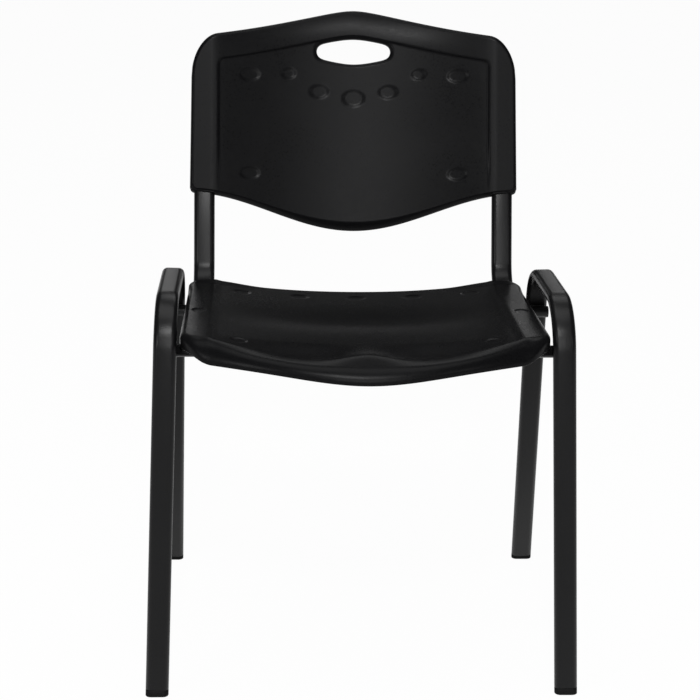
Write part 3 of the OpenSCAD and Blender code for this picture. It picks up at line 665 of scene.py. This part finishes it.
def skin_faces(n, m, ring_count):
    """Faces of an upper grid, rings once round its edge, and an under grid, whose points
    are numbered in that order."""
    cells, count = loop_cells(n, m), (n + 1) * (m + 1)
    ring_n = len(cells)
    edge = cells[:, 1] * (n + 1) + cells[:, 0]
    last = count + ring_count * ring_n
    rings = [edge] + [count + r * ring_n + np.arange(ring_n) for r in range(ring_count)]
    rings.append(last + edge)
    table = np.array(rings)
    side = np.stack([table[:-1], table[1:], np.roll(table, -1, 1)[1:],
                     np.roll(table, -1, 1)[:-1]], -1).reshape(-1, 4)
    top = quads(m + 1, n + 1)
    return np.concatenate([top, side, top[:, ::-1] + last])


print("shell tools ready")

# %% Sizes of the seat
SEAT_T, SEAT_GAP = 4.5, 0.3
SEAT_DISH, DISH_POWER, DISH_SOFT, DISH_PAST = 13.5, 2.3, 12.0, 4.0
SEAT_SKIRT, REAR_SKIRT, LIP_SKIRT = 11.0, 6.0, 3.0
FRONT_DROP, SIDE_DROP, REAR_DROP = 12.0, 8.0, 6.0
BAND_INSET, BAND_STEP, BAND_STEP_W = 21.0, 1.5, 14.0
BAND_EDGE = RAIL_SPREAD / 2 - BAND_INSET
POMMEL_W, POMMEL_RISE, POMMEL_LEN = 42.0, 1.5, 22.0
LIP_BELOW, LIP_BOW, LIP_BOW_W = 31.0, 14.4, 110.0
CREST_RUN, POMMEL_RUN = 28.0, 11.0
CREST_TIGHT, CREST_LOOSE, CREST_SOFT_W = 0.15, 0.9, 95.0
THIGH_DIP, THIGH_GAP, THIGH_LEN = 6.0, 37.0, 67.0
THIGH_END = SEAT_REACH - THIGH_GAP
THIGH_START = THIGH_END - THIGH_LEN
SIT_DIP, SIT_Y, SIT_LEN = 4.0, -22.0, 55.0
TAIL_UP, TAIL_LEN, BAND_FADE, FRONT_FADE, SKIRT_FADE = 3.0, 25.0, 70.0, 42.0, 45.0
SEAT_ROLL = {"side": 8.0, "front": 14.0, "rear": 6.0}
FRONT_BOW, SEAT_CORNER, SEAT_IN_CORNER, SEAT_REAR_CORNER = 72.0, 32.0, 30.0, 26.0
DIMPLES = [(0, 122, 13, 13)] + [(s * x, y, r, r) for s in (-1, 1) for x, y, r in (
    (80, 122, 13), (162, 118, 13), (217, -25, 10), (162, -175, 11))]
print("seat:", SEAT_W, "mm wide,", round(float(SEAT_REACH + SEAT_TAIL), 1), "mm deep")

# %% Heights of the seat
def at_corner(x):
    """From 0 to 1 over the last stretch before the seat's side."""
    return step((abs(x) - SEAT_W / 2 + FRONT_FADE) / FRONT_FADE)


def front_bow(x):
    """How far the front edge lies behind its middle: a parabola over the width."""
    return FRONT_BOW * (2 * x / SEAT_W) ** 2


def seat_z(x, y):
    """The band over the rails, less a dish across, a dip for the sitter, a small step
    inside the bands, the thigh hollows beside the pommel, and the apron that falls from
    a crest to the lip; the tail lifts a little. The apron is what the lip still lacks:
    its own depth below the bands, less its roll and the hollows above it. It starts
    tightly at the pommel and loosely towards the sides."""
    band = rail_z(y) + TUBE_T / 2 / math.cos(math.radians(SEAT_FALL)) + SEAT_GAP + SEAT_T
    u = 1 - rounded_ramp(BAND_EDGE + DISH_PAST - abs(x), DISH_SOFT) / BAND_EDGE
    dish = 1 - u ** DISH_POWER
    inside = 1 - step((abs(x) - BAND_EDGE) / BAND_STEP_W + 0.5)
    hollow = (1 - dome(x / POMMEL_W)) * (1 - u ** 3)
    sunk = SEAT_DISH * dish + BAND_STEP * inside
    lip = LIP_BELOW + LIP_BOW * dome(x / LIP_BOW_W) - LIP_SKIRT - FRONT_DROP
    apron = np.maximum(0, lip - sunk - THIGH_DIP * hollow) * (1 - at_corner(x))
    behind = y - front_bow(x) + SEAT_REACH
    crest = CREST_RUN + POMMEL_RUN * dome(x / POMMEL_W)
    t = np.clip(1 - behind / crest, 0, 1)
    bend = mix(CREST_TIGHT, CREST_LOOSE, step(abs(x) / CREST_SOFT_W))
    return (band - sunk - SIT_DIP * dish * dome((y - SIT_Y) / SIT_LEN)
            - THIGH_DIP * hollow * step((-y - THIGH_START) / (THIGH_END - THIGH_START))
            - apron * (1 + bend) * t * t / (t + bend)
            + POMMEL_RISE * dome(x / POMMEL_W) * dome((behind - crest) / POMMEL_LEN)
            + TAIL_UP * step((y - SEAT_TAIL + TAIL_LEN) / TAIL_LEN)
            * step((abs(x) - BAND_EDGE + BAND_FADE) / BAND_FADE)
            - dimple(x, y, DIMPLES))


print("seat height at its middle:", round(float(seat_z(0.0, -20.0)), 1), "mm")

# %% Outline and edge of the seat
SNX, SNY = 216, 160


def seat_plan(half, reach, tail, r):
    """Plan points [x, y] on the grid: x spreads over the width, y from the bowed front
    line to the rear line, each with its rounded corners."""
    x = (spread(SNX) * half)[None, :]
    v = ((1 + spread(SNY)) / 2)[:, None]
    front = front_bow(x) - reach + corner_cut(abs(x), half, r, r)
    rear = tail - corner_cut(abs(x), half, SEAT_REAR_CORNER, SEAT_REAR_CORNER)
    return np.stack(np.broadcast_arrays(x, mix(front, rear, v)), -1)


def seat_drops(cells, edge):
    """Depth of the rounded edge, and of the skirt below it, by place on the outline."""
    x, y = abs(edge[:, 0]), edge[:, 1]
    flush = step((x - RAIL_SPREAD / 2 + TUBE_W) / (TUBE_W / 2))
    near_tail = step((SEAT_TAIL - SEAT_REAR_CORNER - y) / SKIRT_FADE)
    is_front, is_rear = cells[:, 1] == 0, cells[:, 1] == SNY
    drop = np.where(is_front, mix(FRONT_DROP, SIDE_DROP, at_corner(x)),
                    np.where(is_rear, mix(REAR_DROP, SEAT_T / 2, flush),
                             mix(SEAT_T / 2, SIDE_DROP, near_tail)))
    wall = np.where(is_front, mix(LIP_SKIRT, SEAT_SKIRT, at_corner(x)),
                    np.where(is_rear, mix(REAR_SKIRT, SEAT_T / 2, flush),
                             mix(SEAT_T / 2, SEAT_SKIRT, near_tail)))
    return drop, wall


def at_depth(plan, depth):
    """Chair points of the seat's face over a plan, lowered by a depth."""
    z = seat_z(plan[..., 0], plan[..., 1]) - depth
    return np.concatenate([plan, z[..., None]], -1)


inner = seat_plan(SEAT_W / 2 - SEAT_ROLL["side"], SEAT_REACH - SEAT_ROLL["front"],
                  SEAT_TAIL - SEAT_ROLL["rear"], SEAT_IN_CORNER)
outer = seat_plan(SEAT_W / 2, SEAT_REACH, SEAT_TAIL, SEAT_CORNER)
cells = loop_cells(SNX, SNY)
start, edge = inner[cells[:, 1], cells[:, 0]], outer[cells[:, 1], cells[:, 0]]
within = edge - outward(edge) * SEAT_T
drop, wall = seat_drops(cells, edge)
print("seat grid:", inner.shape[:2], "with", len(cells), "points round its edge")

# %% The seat's skin
EDGE_TURNS = np.radians(np.linspace(0, 90, 13)[1:])
SKIRT_END = [(0.0, 1.2), (0.1, 0.4), (0.35, 0.0), (0.7, 0.0), (0.95, 0.5)]
rings = [at_depth(mix(start, edge, math.sin(a)), drop * (1 - math.cos(a)))
         for a in EDGE_TURNS]
rings += [at_depth(mix(edge, within, share), drop + wall - short)
          for share, short in SKIRT_END]
rings += [at_depth(mix(start, within, math.sin(a)),
                   SEAT_T + np.maximum(0, drop - SEAT_T) * (1 - math.cos(a)))
          for a in EDGE_TURNS[::-1]]
points = np.concatenate([at_depth(inner, 0).reshape(-1, 3), *rings,
                         at_depth(inner, SEAT_T).reshape(-1, 3)])
put("seat_shell_moulded", points, skin_faces(SNX, SNY, len(rings)), shell_black,
    "seat_shell")

# %% [markdown]
# ## The backrest
# The backrest is a hollow panel between two sleeves that slide down over the uprights.
# Its field is sunk a little below a raised border, round hollows break up its middle, and
# a hand hole with a rolled rim lies under the crown. The hole is why the grid is cut: a
# block of cells is left out, and rings run from the block's edge in to the hole. Against
# the CAD model, the hollow starts more softly beside the sleeves, the step round the
# field is crisper, and the hole is 1.5 mm narrower with blunter ends. The crown is
# 0.15 mm lower and leans back 0.3 mm less, so that the finer surface keeps inside the
# model's box.

# %% Sizes of the backrest
BACK_T, BACK_TAPER, BACK_TOP, BACK_LOW, BACK_RISE = 3.4, 4.0, 402.85, 80.0, 53.0
BACK_HOLLOW, POCKET_GAP, CROWN_BACK, SLEEVE_WALL = 25.0, 0.4, 4.7, 2.6
CROWN_SHARE, CROWN_ROUND, CROWN_EASE = 0.25, 25.0, 0.18
SLEEVE_IN = RAIL_SPREAD / 2 - TUBE_W / 2 - POCKET_GAP - SLEEVE_WALL
BOWL_PAST, BOWL_SOFT = 10.0, 20.0
BOWL_EDGE = SLEEVE_IN + BOWL_PAST
FRONT_FACE = -(TUBE_T / 2 + POCKET_GAP + BACK_T)
FIELD_DEPTH, FIELD_STEP, FIELD_HALF, FIELD_R = 2.5, 3.0, 198.0, 9.0
FIELD_FADE, FIELD_FADE_RUN, BORDER_W = BACK_LOW + 45.0, 110.0, 36.5
HOLE_W, HOLE_H, HOLE_S, HOLE_ENDS = 107.5, 36.0, BACK_TOP - 60.5, 14
BACK_DIMPLES = [(0, 274, 17, 12.5)] + [(side * x, s, rx, rs) for side in (-1, 1)
                for x, s, rx, rs in ((50.5, 283.3, 14.7, 10.3), (95, 308.9, 11, 8.5),
                                     (151.8, 306, 15.8, 10), (151.4, 162.7, 15.2, 9.5))]
print("panel height at its middle:", BACK_TOP - BACK_LOW, "mm")

# %% Heights of the backrest
def crown(x):
    """Fall of the top edge from the middle to the sides, a gable with a soft tip:
    0.25 (hypot(x, 25) - 25) (1 - 0.18 (2 x / width)**2)."""
    return CROWN_SHARE * (np.hypot(x, CROWN_ROUND) - CROWN_ROUND) \
        * (1 - CROWN_EASE * (2 * x / BACK_W) ** 2)


def in_field(x, s):
    """How far a point lies inside the sunk field's rounded outline, whose top runs
    along the crown: the signed distance to a box with round corners."""
    over, up = abs(x) - FIELD_HALF + FIELD_R, s - BACK_TOP + crown(x) + BORDER_W + FIELD_R
    return FIELD_R - np.hypot(np.maximum(over, 0), np.maximum(up, 0)) \
        - np.minimum(np.maximum(over, up), 0)


def back_n(x, s):
    """Place of the front face, rearwards of the uprights' middle plane: the hollow of
    the panel, the sunk field with its dimples, and the crown that leans back. The hollow
    is a parabola across, whose sides start as a rounded ramp."""
    inwards = rounded_ramp(BOWL_EDGE - abs(x), BOWL_SOFT)
    bowl = 1 - (1 - inwards / rounded_ramp(BOWL_EDGE, BOWL_SOFT)) ** 2
    field = step(in_field(x, s) / FIELD_STEP) * step((s - FIELD_FADE) / FIELD_FADE_RUN)
    rise = np.clip((s - BACK_TOP + crown(x) + BORDER_W) / (BORDER_W - BACK_T / 2), 0, 1)
    return (FRONT_FACE + (BACK_HOLLOW + CROWN_BACK * rise ** 2) * bowl + FIELD_DEPTH * field
            + dimple(x, s, BACK_DIMPLES))


def in_back(x, s, n):
    """Panel place to chair point: s runs up the reclined uprights, n rearwards."""
    c, k = math.cos(math.radians(RECLINE)), math.sin(math.radians(RECLINE))
    x, s, n = np.broadcast_arrays(x, s, n)
    return np.stack([x, BEND_AT[0] + s * k + n * c, BEND_AT[1] + s * c - n * k], -1)


print("face at its middle:", round(float(back_n(0.0, 200.0)), 1), "mm behind the tubes")

# %% Outline and hand hole of the backrest
BNX, BNY = 210, 150
TOP_CORNER_W, TOP_CORNER_H, LOW_CORNER, LOW_BOW_W = 38.0, 58.0, 7.0, 110.0


def lower_rise(x):
    """How far the lower edge rises towards the sides: a sine squared."""
    return BACK_RISE * np.sin(np.pi * x / BACK_W) ** 2


def back_plan(side, up, low, low_bow=0.0):
    """Plan points [x, s]: the lower edge dips in the middle, the upper edge is the
    crown, both with their rounded corners, and the sides taper upwards."""
    v = ((1 + spread(BNY)) / 2)[:, None]
    half = BACK_W / 2 - BACK_TAPER / 2 * v - side
    x = spread(BNX)[None, :] * half
    upper = BACK_TOP - up - crown(x) \
        - corner_cut(abs(x), half, TOP_CORNER_W - up / 2, TOP_CORNER_H - up)
    lower = BACK_LOW + low + low_bow * dome(x / LOW_BOW_W) + lower_rise(x) \
        + corner_cut(abs(x), half, LOW_CORNER, LOW_CORNER)
    return np.stack([x, mix(lower, upper, v)], -1)


def hole_edge(turn, grow=0.0):
    """The hole's outline at each turn from its middle. Its top falls off as the crown
    does, its bottom mirrors that, and its ends are blunt:
    half height = (H / 2 - crown(x)) * sqrt(1 - (2 x / W)**14)."""
    b = np.linspace(-np.pi / 2, np.pi / 2, 600)
    x = (HOLE_W / 2 + grow) * np.sin(b)
    half = (HOLE_H / 2 - crown(x) + grow) * np.sqrt(1 - np.sin(b) ** HOLE_ENDS)
    x, s = np.concatenate([x, -x]), np.concatenate([-half, half])
    at = np.arctan2(s / HOLE_H, x / HOLE_W)
    return np.stack([np.interp(turn, at, x), np.interp(turn, at, s) + HOLE_S], -1)


panel_in = back_plan(side=5.0, up=6.0, low=6.5, low_bow=6.5)
panel_out = back_plan(side=0.0, up=0.0, low=0.0)
print("panel grid:", panel_in.shape)

# %% [markdown]
# ### The hand hole and the rolled edge
# A hole in a grid is easiest to make as a patch. The cells round it are left out, and
# the points on the patch's edge are drawn in towards the hole's outline, ring by ring,
# each along its own direction from the middle. The rings then turn over the rim and run
# back out on the rear skin. The panel's own edge rolls over in the same way, and along
# the bottom its flange is deeper and starts with a slight crease.

# %% The block that is cut from the panel's grid
BLOCK_HALF, BLOCK_LOW, BLOCK_HIGH = 78.0, 0.725, 0.945


def band(table, inwards):
    """Faces between the rows of a table of point numbers, each row closed on itself."""
    a, b = table[:-1], table[1:]
    a2, b2 = np.roll(a, -1, 1), np.roll(b, -1, 1)
    order = (a, a2, b2, b) if inwards else (a, b, b2, a2)
    return np.stack(order, -1).reshape(-1, 4)


def panel_point(plan, depth):
    """Chair points of the panel's face over a plan, set back by a depth."""
    return in_back(plan[..., 0], plan[..., 1], back_n(plan[..., 0], plan[..., 1]) + depth)


i0, i1 = np.searchsorted(spread(BNX) * BACK_W / 2, [-BLOCK_HALF, BLOCK_HALF])
j0, j1 = np.searchsorted((1 + spread(BNY)) / 2, [BLOCK_LOW, BLOCK_HIGH])
grid = (BNX + 1) * (BNY + 1)
numbers = np.arange(grid).reshape(BNY + 1, BNX + 1)
whole = quads(BNY + 1, BNX + 1).reshape(BNY, BNX, 4)
keep = np.ones((BNY, BNX), bool)
keep[j0:j1, i0:i1] = False
block = loop_cells(i1 - i0, j1 - j0) + [i0, j0]
block_at = panel_in[block[:, 1], block[:, 0]]
turn = np.arctan2((block_at[:, 1] - HOLE_S) / HOLE_H, block_at[:, 0] / HOLE_W)
print("hole block:", i1 - i0, "x", j1 - j0, "cells")

# %% Rings from the block's edge over the hole's rolled rim to the rear skin
RIM, FLANGE, HOLE_PACE = 6.0, 7.0, 1.3
RIM_END = [(0.4, 0.9), (1.6, 1.2), (BACK_T - 0.3, 0.7)]
rim_line = hole_edge(turn, RIM)
arc = np.radians(np.linspace(0, 90, 9))[1:]
shares = 1 - (1 - np.linspace(0, 1, 15)[1:]) ** HOLE_PACE
layers = [(mix(block_at, rim_line, t), 0.0) for t in shares]
layers += [(hole_edge(turn, RIM * (1 - math.sin(a))), FLANGE * (1 - math.cos(a)))
           for a in arc]
layers += [(hole_edge(turn, grow), FLANGE + past) for grow, past in RIM_END]
layers += [(hole_edge(turn, mix(RIM, BACK_T, math.sin(a))),
            BACK_T + (FLANGE - BACK_T) * (1 - math.cos(a))) for a in arc[::-1]]
layers += [(mix(block_at, rim_line, t), BACK_T) for t in np.linspace(1, 0, 9)[:-1]]
hole_rings = np.array([panel_point(plan, depth) for plan, depth in layers])
print("hole:", len(hole_rings), "rings of", len(turn), "points")

# %% Rings over the panel's rolled edge
LOW_FLANGE, CREASE = 10.0, 0.55
FLANGE_END = [(0.15, 0.6), (0.5, 0.85), (0.85, 0.6)]
cells = loop_cells(BNX, BNY)
start, edge = panel_in[cells[:, 1], cells[:, 0]], panel_out[cells[:, 1], cells[:, 0]]
within = edge - outward(edge) * BACK_T
flange, crease = np.where(cells[:, 1] == 0, [[LOW_FLANGE], [CREASE]], [[FLANGE], [0.0]])


def roll(a):
    """Share of the flange's depth at a turn of its round, which starts with a crease
    along the lower edge: from 1 - cos a towards sin a."""
    return mix(1 - math.cos(a), math.sin(a), crease)


arc = np.radians(np.linspace(0, 90, 11))[1:]
rings = [panel_point(mix(start, edge, math.sin(a)), flange * roll(a)) for a in arc]
rings += [panel_point(mix(edge, within, share), flange + past)
          for share, past in FLANGE_END]
rings += [panel_point(mix(start, within, math.sin(a)), BACK_T + (flange - BACK_T) * roll(a))
          for a in arc[::-1]]
edge_rings = np.array(rings)
print("edge:", len(edge_rings), "rings of", len(cells), "points")

# %% The panel
points = np.concatenate([part.reshape(-1, 3) for part in (
    panel_point(panel_in, 0), hole_rings, edge_rings, panel_point(panel_in, BACK_T))])
last = len(points) - grid


def ring_table(around_cells, rings, first):
    """Point numbers from a ring of the face's grid over the rings to the rear's grid."""
    own = first + np.arange(rings[..., 0].size).reshape(rings.shape[:2])
    ring = numbers[around_cells[:, 1], around_cells[:, 0]]
    return np.vstack([ring, own, last + ring])


hole_table = ring_table(block, hole_rings, grid)
edge_table = ring_table(cells, edge_rings, grid + hole_rings[..., 0].size)
faces = np.concatenate([whole[keep], whole[keep][:, ::-1] + last,
                        band(hole_table, inwards=True), band(edge_table, inwards=False)])
used, faces = np.unique(faces, return_inverse=True)
put("backrest_panel", points[used], faces.reshape(-1, 4), shell_black,
    "backrest_shell")

# %% [markdown]
# The sleeves are closed at the top, where they run out into the panel in a ramp, so that
# the moulding comes off its core. Each is one skin: up the outside, over the ramp, and
# from the rim at the bottom up into the pocket for the tube.

# %% Sleeves over the uprights
def rounded_box(x0, x1, n0, n1, r, per=7):
    """Outline of a box with round corners, in the order of oval()'s points."""
    a = np.radians(np.arange(4)[:, None] * 90 - 90 + np.linspace(0, 90, per)[None, :])
    cx = np.array([x1 - r, x1 - r, x0 + r, x0 + r])[:, None]
    cn = np.array([n0 + r, n1 - r, n1 - r, n0 + r])[:, None]
    return np.stack([cx + r * np.cos(a), cn + r * np.sin(a)], -1).reshape(-1, 2)


WALL = TUBE_T / 2 + POCKET_GAP + BACK_T
RAMP_S, RAMP, SIDE_INSET, SLEEVE_OUT, SLEEVE_R = UPRIGHT_LEN + 2.0, 34.0, 1.2, 5.0, 4.5
FACE_INSET, RAMP_INSET, SLEEVE_FOOT = 1.7, 2.2, 3.0
upper_right = panel_out[-1, BNX // 2:][::-1]


def side_line(s):
    """The panel's side, a little in, which the round top corner draws inwards."""
    taper = BACK_W / 2 - BACK_TAPER / 2 * (s - BACK_LOW) / (BACK_TOP - BACK_LOW)
    corner_line = np.interp(s, upper_right[:, 1], upper_right[:, 0])
    return np.minimum(taper, corner_line) - SIDE_INSET


def sleeve():
    """Rows of [x, s, n]: pocket end, pocket, rim, outside, ramp and its end. The foot
    follows the panel's lower edge, and the ramp draws the rear wall in to the face."""
    outer = rounded_box(SLEEVE_IN, RAIL_SPREAD / 2 + TUBE_W / 2 + SLEEVE_OUT,
                        -WALL + FACE_INSET, WALL, SLEEVE_R)
    pocket = oval(TUBE_W + 2 * POCKET_GAP, TUBE_T + 2 * POCKET_GAP) + [RAIL_SPREAD / 2, 0]
    foot = BACK_LOW + lower_rise(outer[:, 0]) + SLEEVE_FOOT
    tight = mix(outer, pocket, 0.3)
    rows = [(pocket, UPRIGHT_LEN + POCKET_GAP + 0 * foot), (pocket, foot + 0.5),
            (mix(pocket, tight, 0.15), foot), (tight, foot),
            (mix(outer, tight, 0.3), foot + 0.1), (outer, foot + 1.0),
            (outer, foot + 12.0), (outer, RAMP_S + 0 * foot)]
    for t in np.linspace(0, 1, 9)[1:]:
        ramp = outer.copy()
        ramp[:, 1] = np.minimum(outer[:, 1], mix(WALL, -WALL + RAMP_INSET, step(t)))
        rows.append((ramp, RAMP_S + RAMP * t + 0 * foot))
    return np.array([in_back(np.minimum(p[:, 0], side_line(s)), s, p[:, 1])
                     for p, s in rows])


rows = sleeve()
for side, points, turned in halves(rows, closed_rod(*rows.shape[:2])):
    put(f"backrest_sleeve_{side}", points, turned, shell_black, "backrest_shell")

# %% Screws through the sleeves
BACK_SCREW_UP, BACK_SCREW_LEN = 22.0, 9.0
back_places = [in_back(s * RAIL_SPREAD / 2, BACK_LOW + BACK_RISE + BACK_SCREW_UP, WALL)
               for s in (-1, 1)]
screws("backrest_screws", BACK_SCREW_LEN, back_places, 90 - RECLINE)

# %% [markdown]
# ## Floor, lamps and camera
# A product picture has a pale floor that fades into the background. This floor is white
# to the camera and to reflections, but for the rest of the light it is paint, and a
# small share of it stays paint for the camera too, which keeps the shadow. The world is
# white and weak, so that the lamps shape the chair.

# %% Floor and world
FLOOR, GLOW_SHARE, WORLD_STRENGTH = 40.0, 0.97, 0.06


def floor_finish():
    """White paint, lifted to white by Light Path where the camera or a glossy or
    transmitted ray sees it, with a few hundredths left as paint for the shadow."""
    g = Graph("studio_floor")
    paint = g.node("ShaderNodeBsdfDiffuse", {"Color": (0.9, 0.9, 0.9, 1)})
    glow = g.node("ShaderNodeEmission", {"Color": (1, 1, 1, 1), "Strength": 1.0})
    path = g.tree.nodes.new("ShaderNodeLightPath")
    seen = [Value(g, path.outputs[name]) for name in
            ("Is Camera Ray", "Is Glossy Ray", "Is Transmission Ray")]
    share = seen[0].at_least(seen[1]).at_least(seen[2]) * GLOW_SHARE
    return g.finish(g.node("ShaderNodeMixShader", {0: share, 1: paint, 2: glow}))


mesh = bpy.data.meshes.new("floor")
corners = ((-1, -1), (1, -1), (1, 1), (-1, 1))
mesh.from_pydata([(x * FLOOR, y * FLOOR, 0) for x, y in corners], [], [(0, 1, 2, 3)])
mesh.materials.append(floor_finish())
floor = bpy.data.objects.new("floor", mesh)
bpy.context.scene.collection.objects.link(floor)

world = bpy.data.worlds.new("studio")
world.use_nodes = True
backdrop = world.node_tree.nodes["Background"]
backdrop.inputs["Color"].default_value = (1, 1, 1, 1)
backdrop.inputs["Strength"].default_value = WORLD_STRENGTH
bpy.context.scene.world = world
print("floor and world ready")

# %% [markdown]
# A black thing shows little but what it mirrors, so each lamp stands where one form of
# the chair throws it at the camera. A tall soft box in front draws the flat uprights,
# the sleeves and the field of the backrest. A small bright lamp high in front gives the
# short highlights on the crown, the seat's lip and the bends. Low lamps at both sides
# reach the ends of the lip, and two faint ones low behind draw the tops of the side
# frames. The lamps overhead and behind fill in, for the views from other sides.

# %% Lamps
def stand(thing, across, up, back_axis, place):
    """Sets an object at a place with its own x, y and z along those three unit axes."""
    axes = np.column_stack([across, up, back_axis]).tolist()
    thing.matrix_world = Matrix([[*row, p] for row, p in zip(axes, place)]
                                + [[0, 0, 0, 1]])
    bpy.context.scene.collection.objects.link(thing)


def soft_light(name, place, aim, size, watts):
    """A rectangular lamp of that size in metres, turned to look at a point."""
    lamp = bpy.data.lights.new(name, "AREA")
    lamp.shape, lamp.size, lamp.size_y, lamp.energy = "RECTANGLE", size[0], size[1], watts
    thing = bpy.data.objects.new(name, lamp)
    back_axis = np.subtract(place, aim) / np.linalg.norm(np.subtract(place, aim))
    across = np.cross([0, 0, 1], back_axis)
    across /= np.linalg.norm(across)
    stand(thing, across, np.cross(back_axis, across), back_axis, place)
    thing.visible_camera = False


SEAT_AIM, LEFT_AIM, RIGHT_AIM = (0, 0, 0.5), (-0.25, 0, 0.5), (0.25, 0, 0.5)
for lamp_row in (
        ("front_box", (0.12, -3.85, 1.72), SEAT_AIM, (1.15, 1.5), 39),
        ("front_high", (-0.1, -2.9, 3.1), SEAT_AIM, (0.3, 0.5), 60),
        ("overhead", (-0.1, -0.3, 3.3), SEAT_AIM, (2.4, 1.8), 36),
        ("back_light", (0.4, 2.5, 3.4), SEAT_AIM, (2.2, 1.4), 18),
        ("left_key", (-2.3, -2.7, 1.5), SEAT_AIM, (0.8, 0.9), 24),
        ("right_key", (1.9, -2.7, 1.6), SEAT_AIM, (0.8, 0.9), 7),
        ("left_rim", (-0.5, 4.5, 1.4), LEFT_AIM, (0.5, 0.8), 1.6),
        ("right_rim", (1.0, 4.5, 1.4), RIGHT_AIM, (0.5, 0.8), 1.35)):
    soft_light(*lamp_row)
print("lamps:", len(bpy.data.lights))

# %% [markdown]
# The camera stands where the picture was taken from: about 2.5 m in front, some 0.3 m
# above the backrest, and it looks down by 17 degrees. Its place in millimetres and its
# turns in radians were fitted to the legs, bends and edges. The focal length and the
# middle of the picture are in pixels of a square of 700, and they become the lens and
# its shift.

# %% Camera
PIXELS, FOCAL, CAM_AT = 700, 1899.963, (-128.19, -2484.87, 1136.5)
YAW, PITCH, ROLL, MID_X, MID_Y = 0.047, 0.291, 0.016, 350.83, 357.21
forward = np.array([math.sin(YAW) * math.cos(PITCH), math.cos(YAW) * math.cos(PITCH),
                    -math.sin(PITCH)])
level = np.array([math.cos(YAW), -math.sin(YAW), 0.0])
rise = np.cross(level, forward)
right = math.cos(ROLL) * level + math.sin(ROLL) * rise
upward = -math.sin(ROLL) * level + math.cos(ROLL) * rise
place = (np.array(CAM_AT) - [0, MIDDLE, 0]) * MM
lens = bpy.data.cameras.new("camera")
lens.sensor_width = 36.0
lens.lens = lens.sensor_width * FOCAL / PIXELS
lens.shift_x, lens.shift_y = 0.5 - MID_X / PIXELS, MID_Y / PIXELS - 0.5
camera = bpy.data.objects.new("camera", lens)
stand(camera, right, upward, -forward, place.tolist())
scene = bpy.context.scene
scene.camera = camera
scene.view_settings.view_transform = "Standard"
print("lens:", round(lens.lens, 2), "mm")
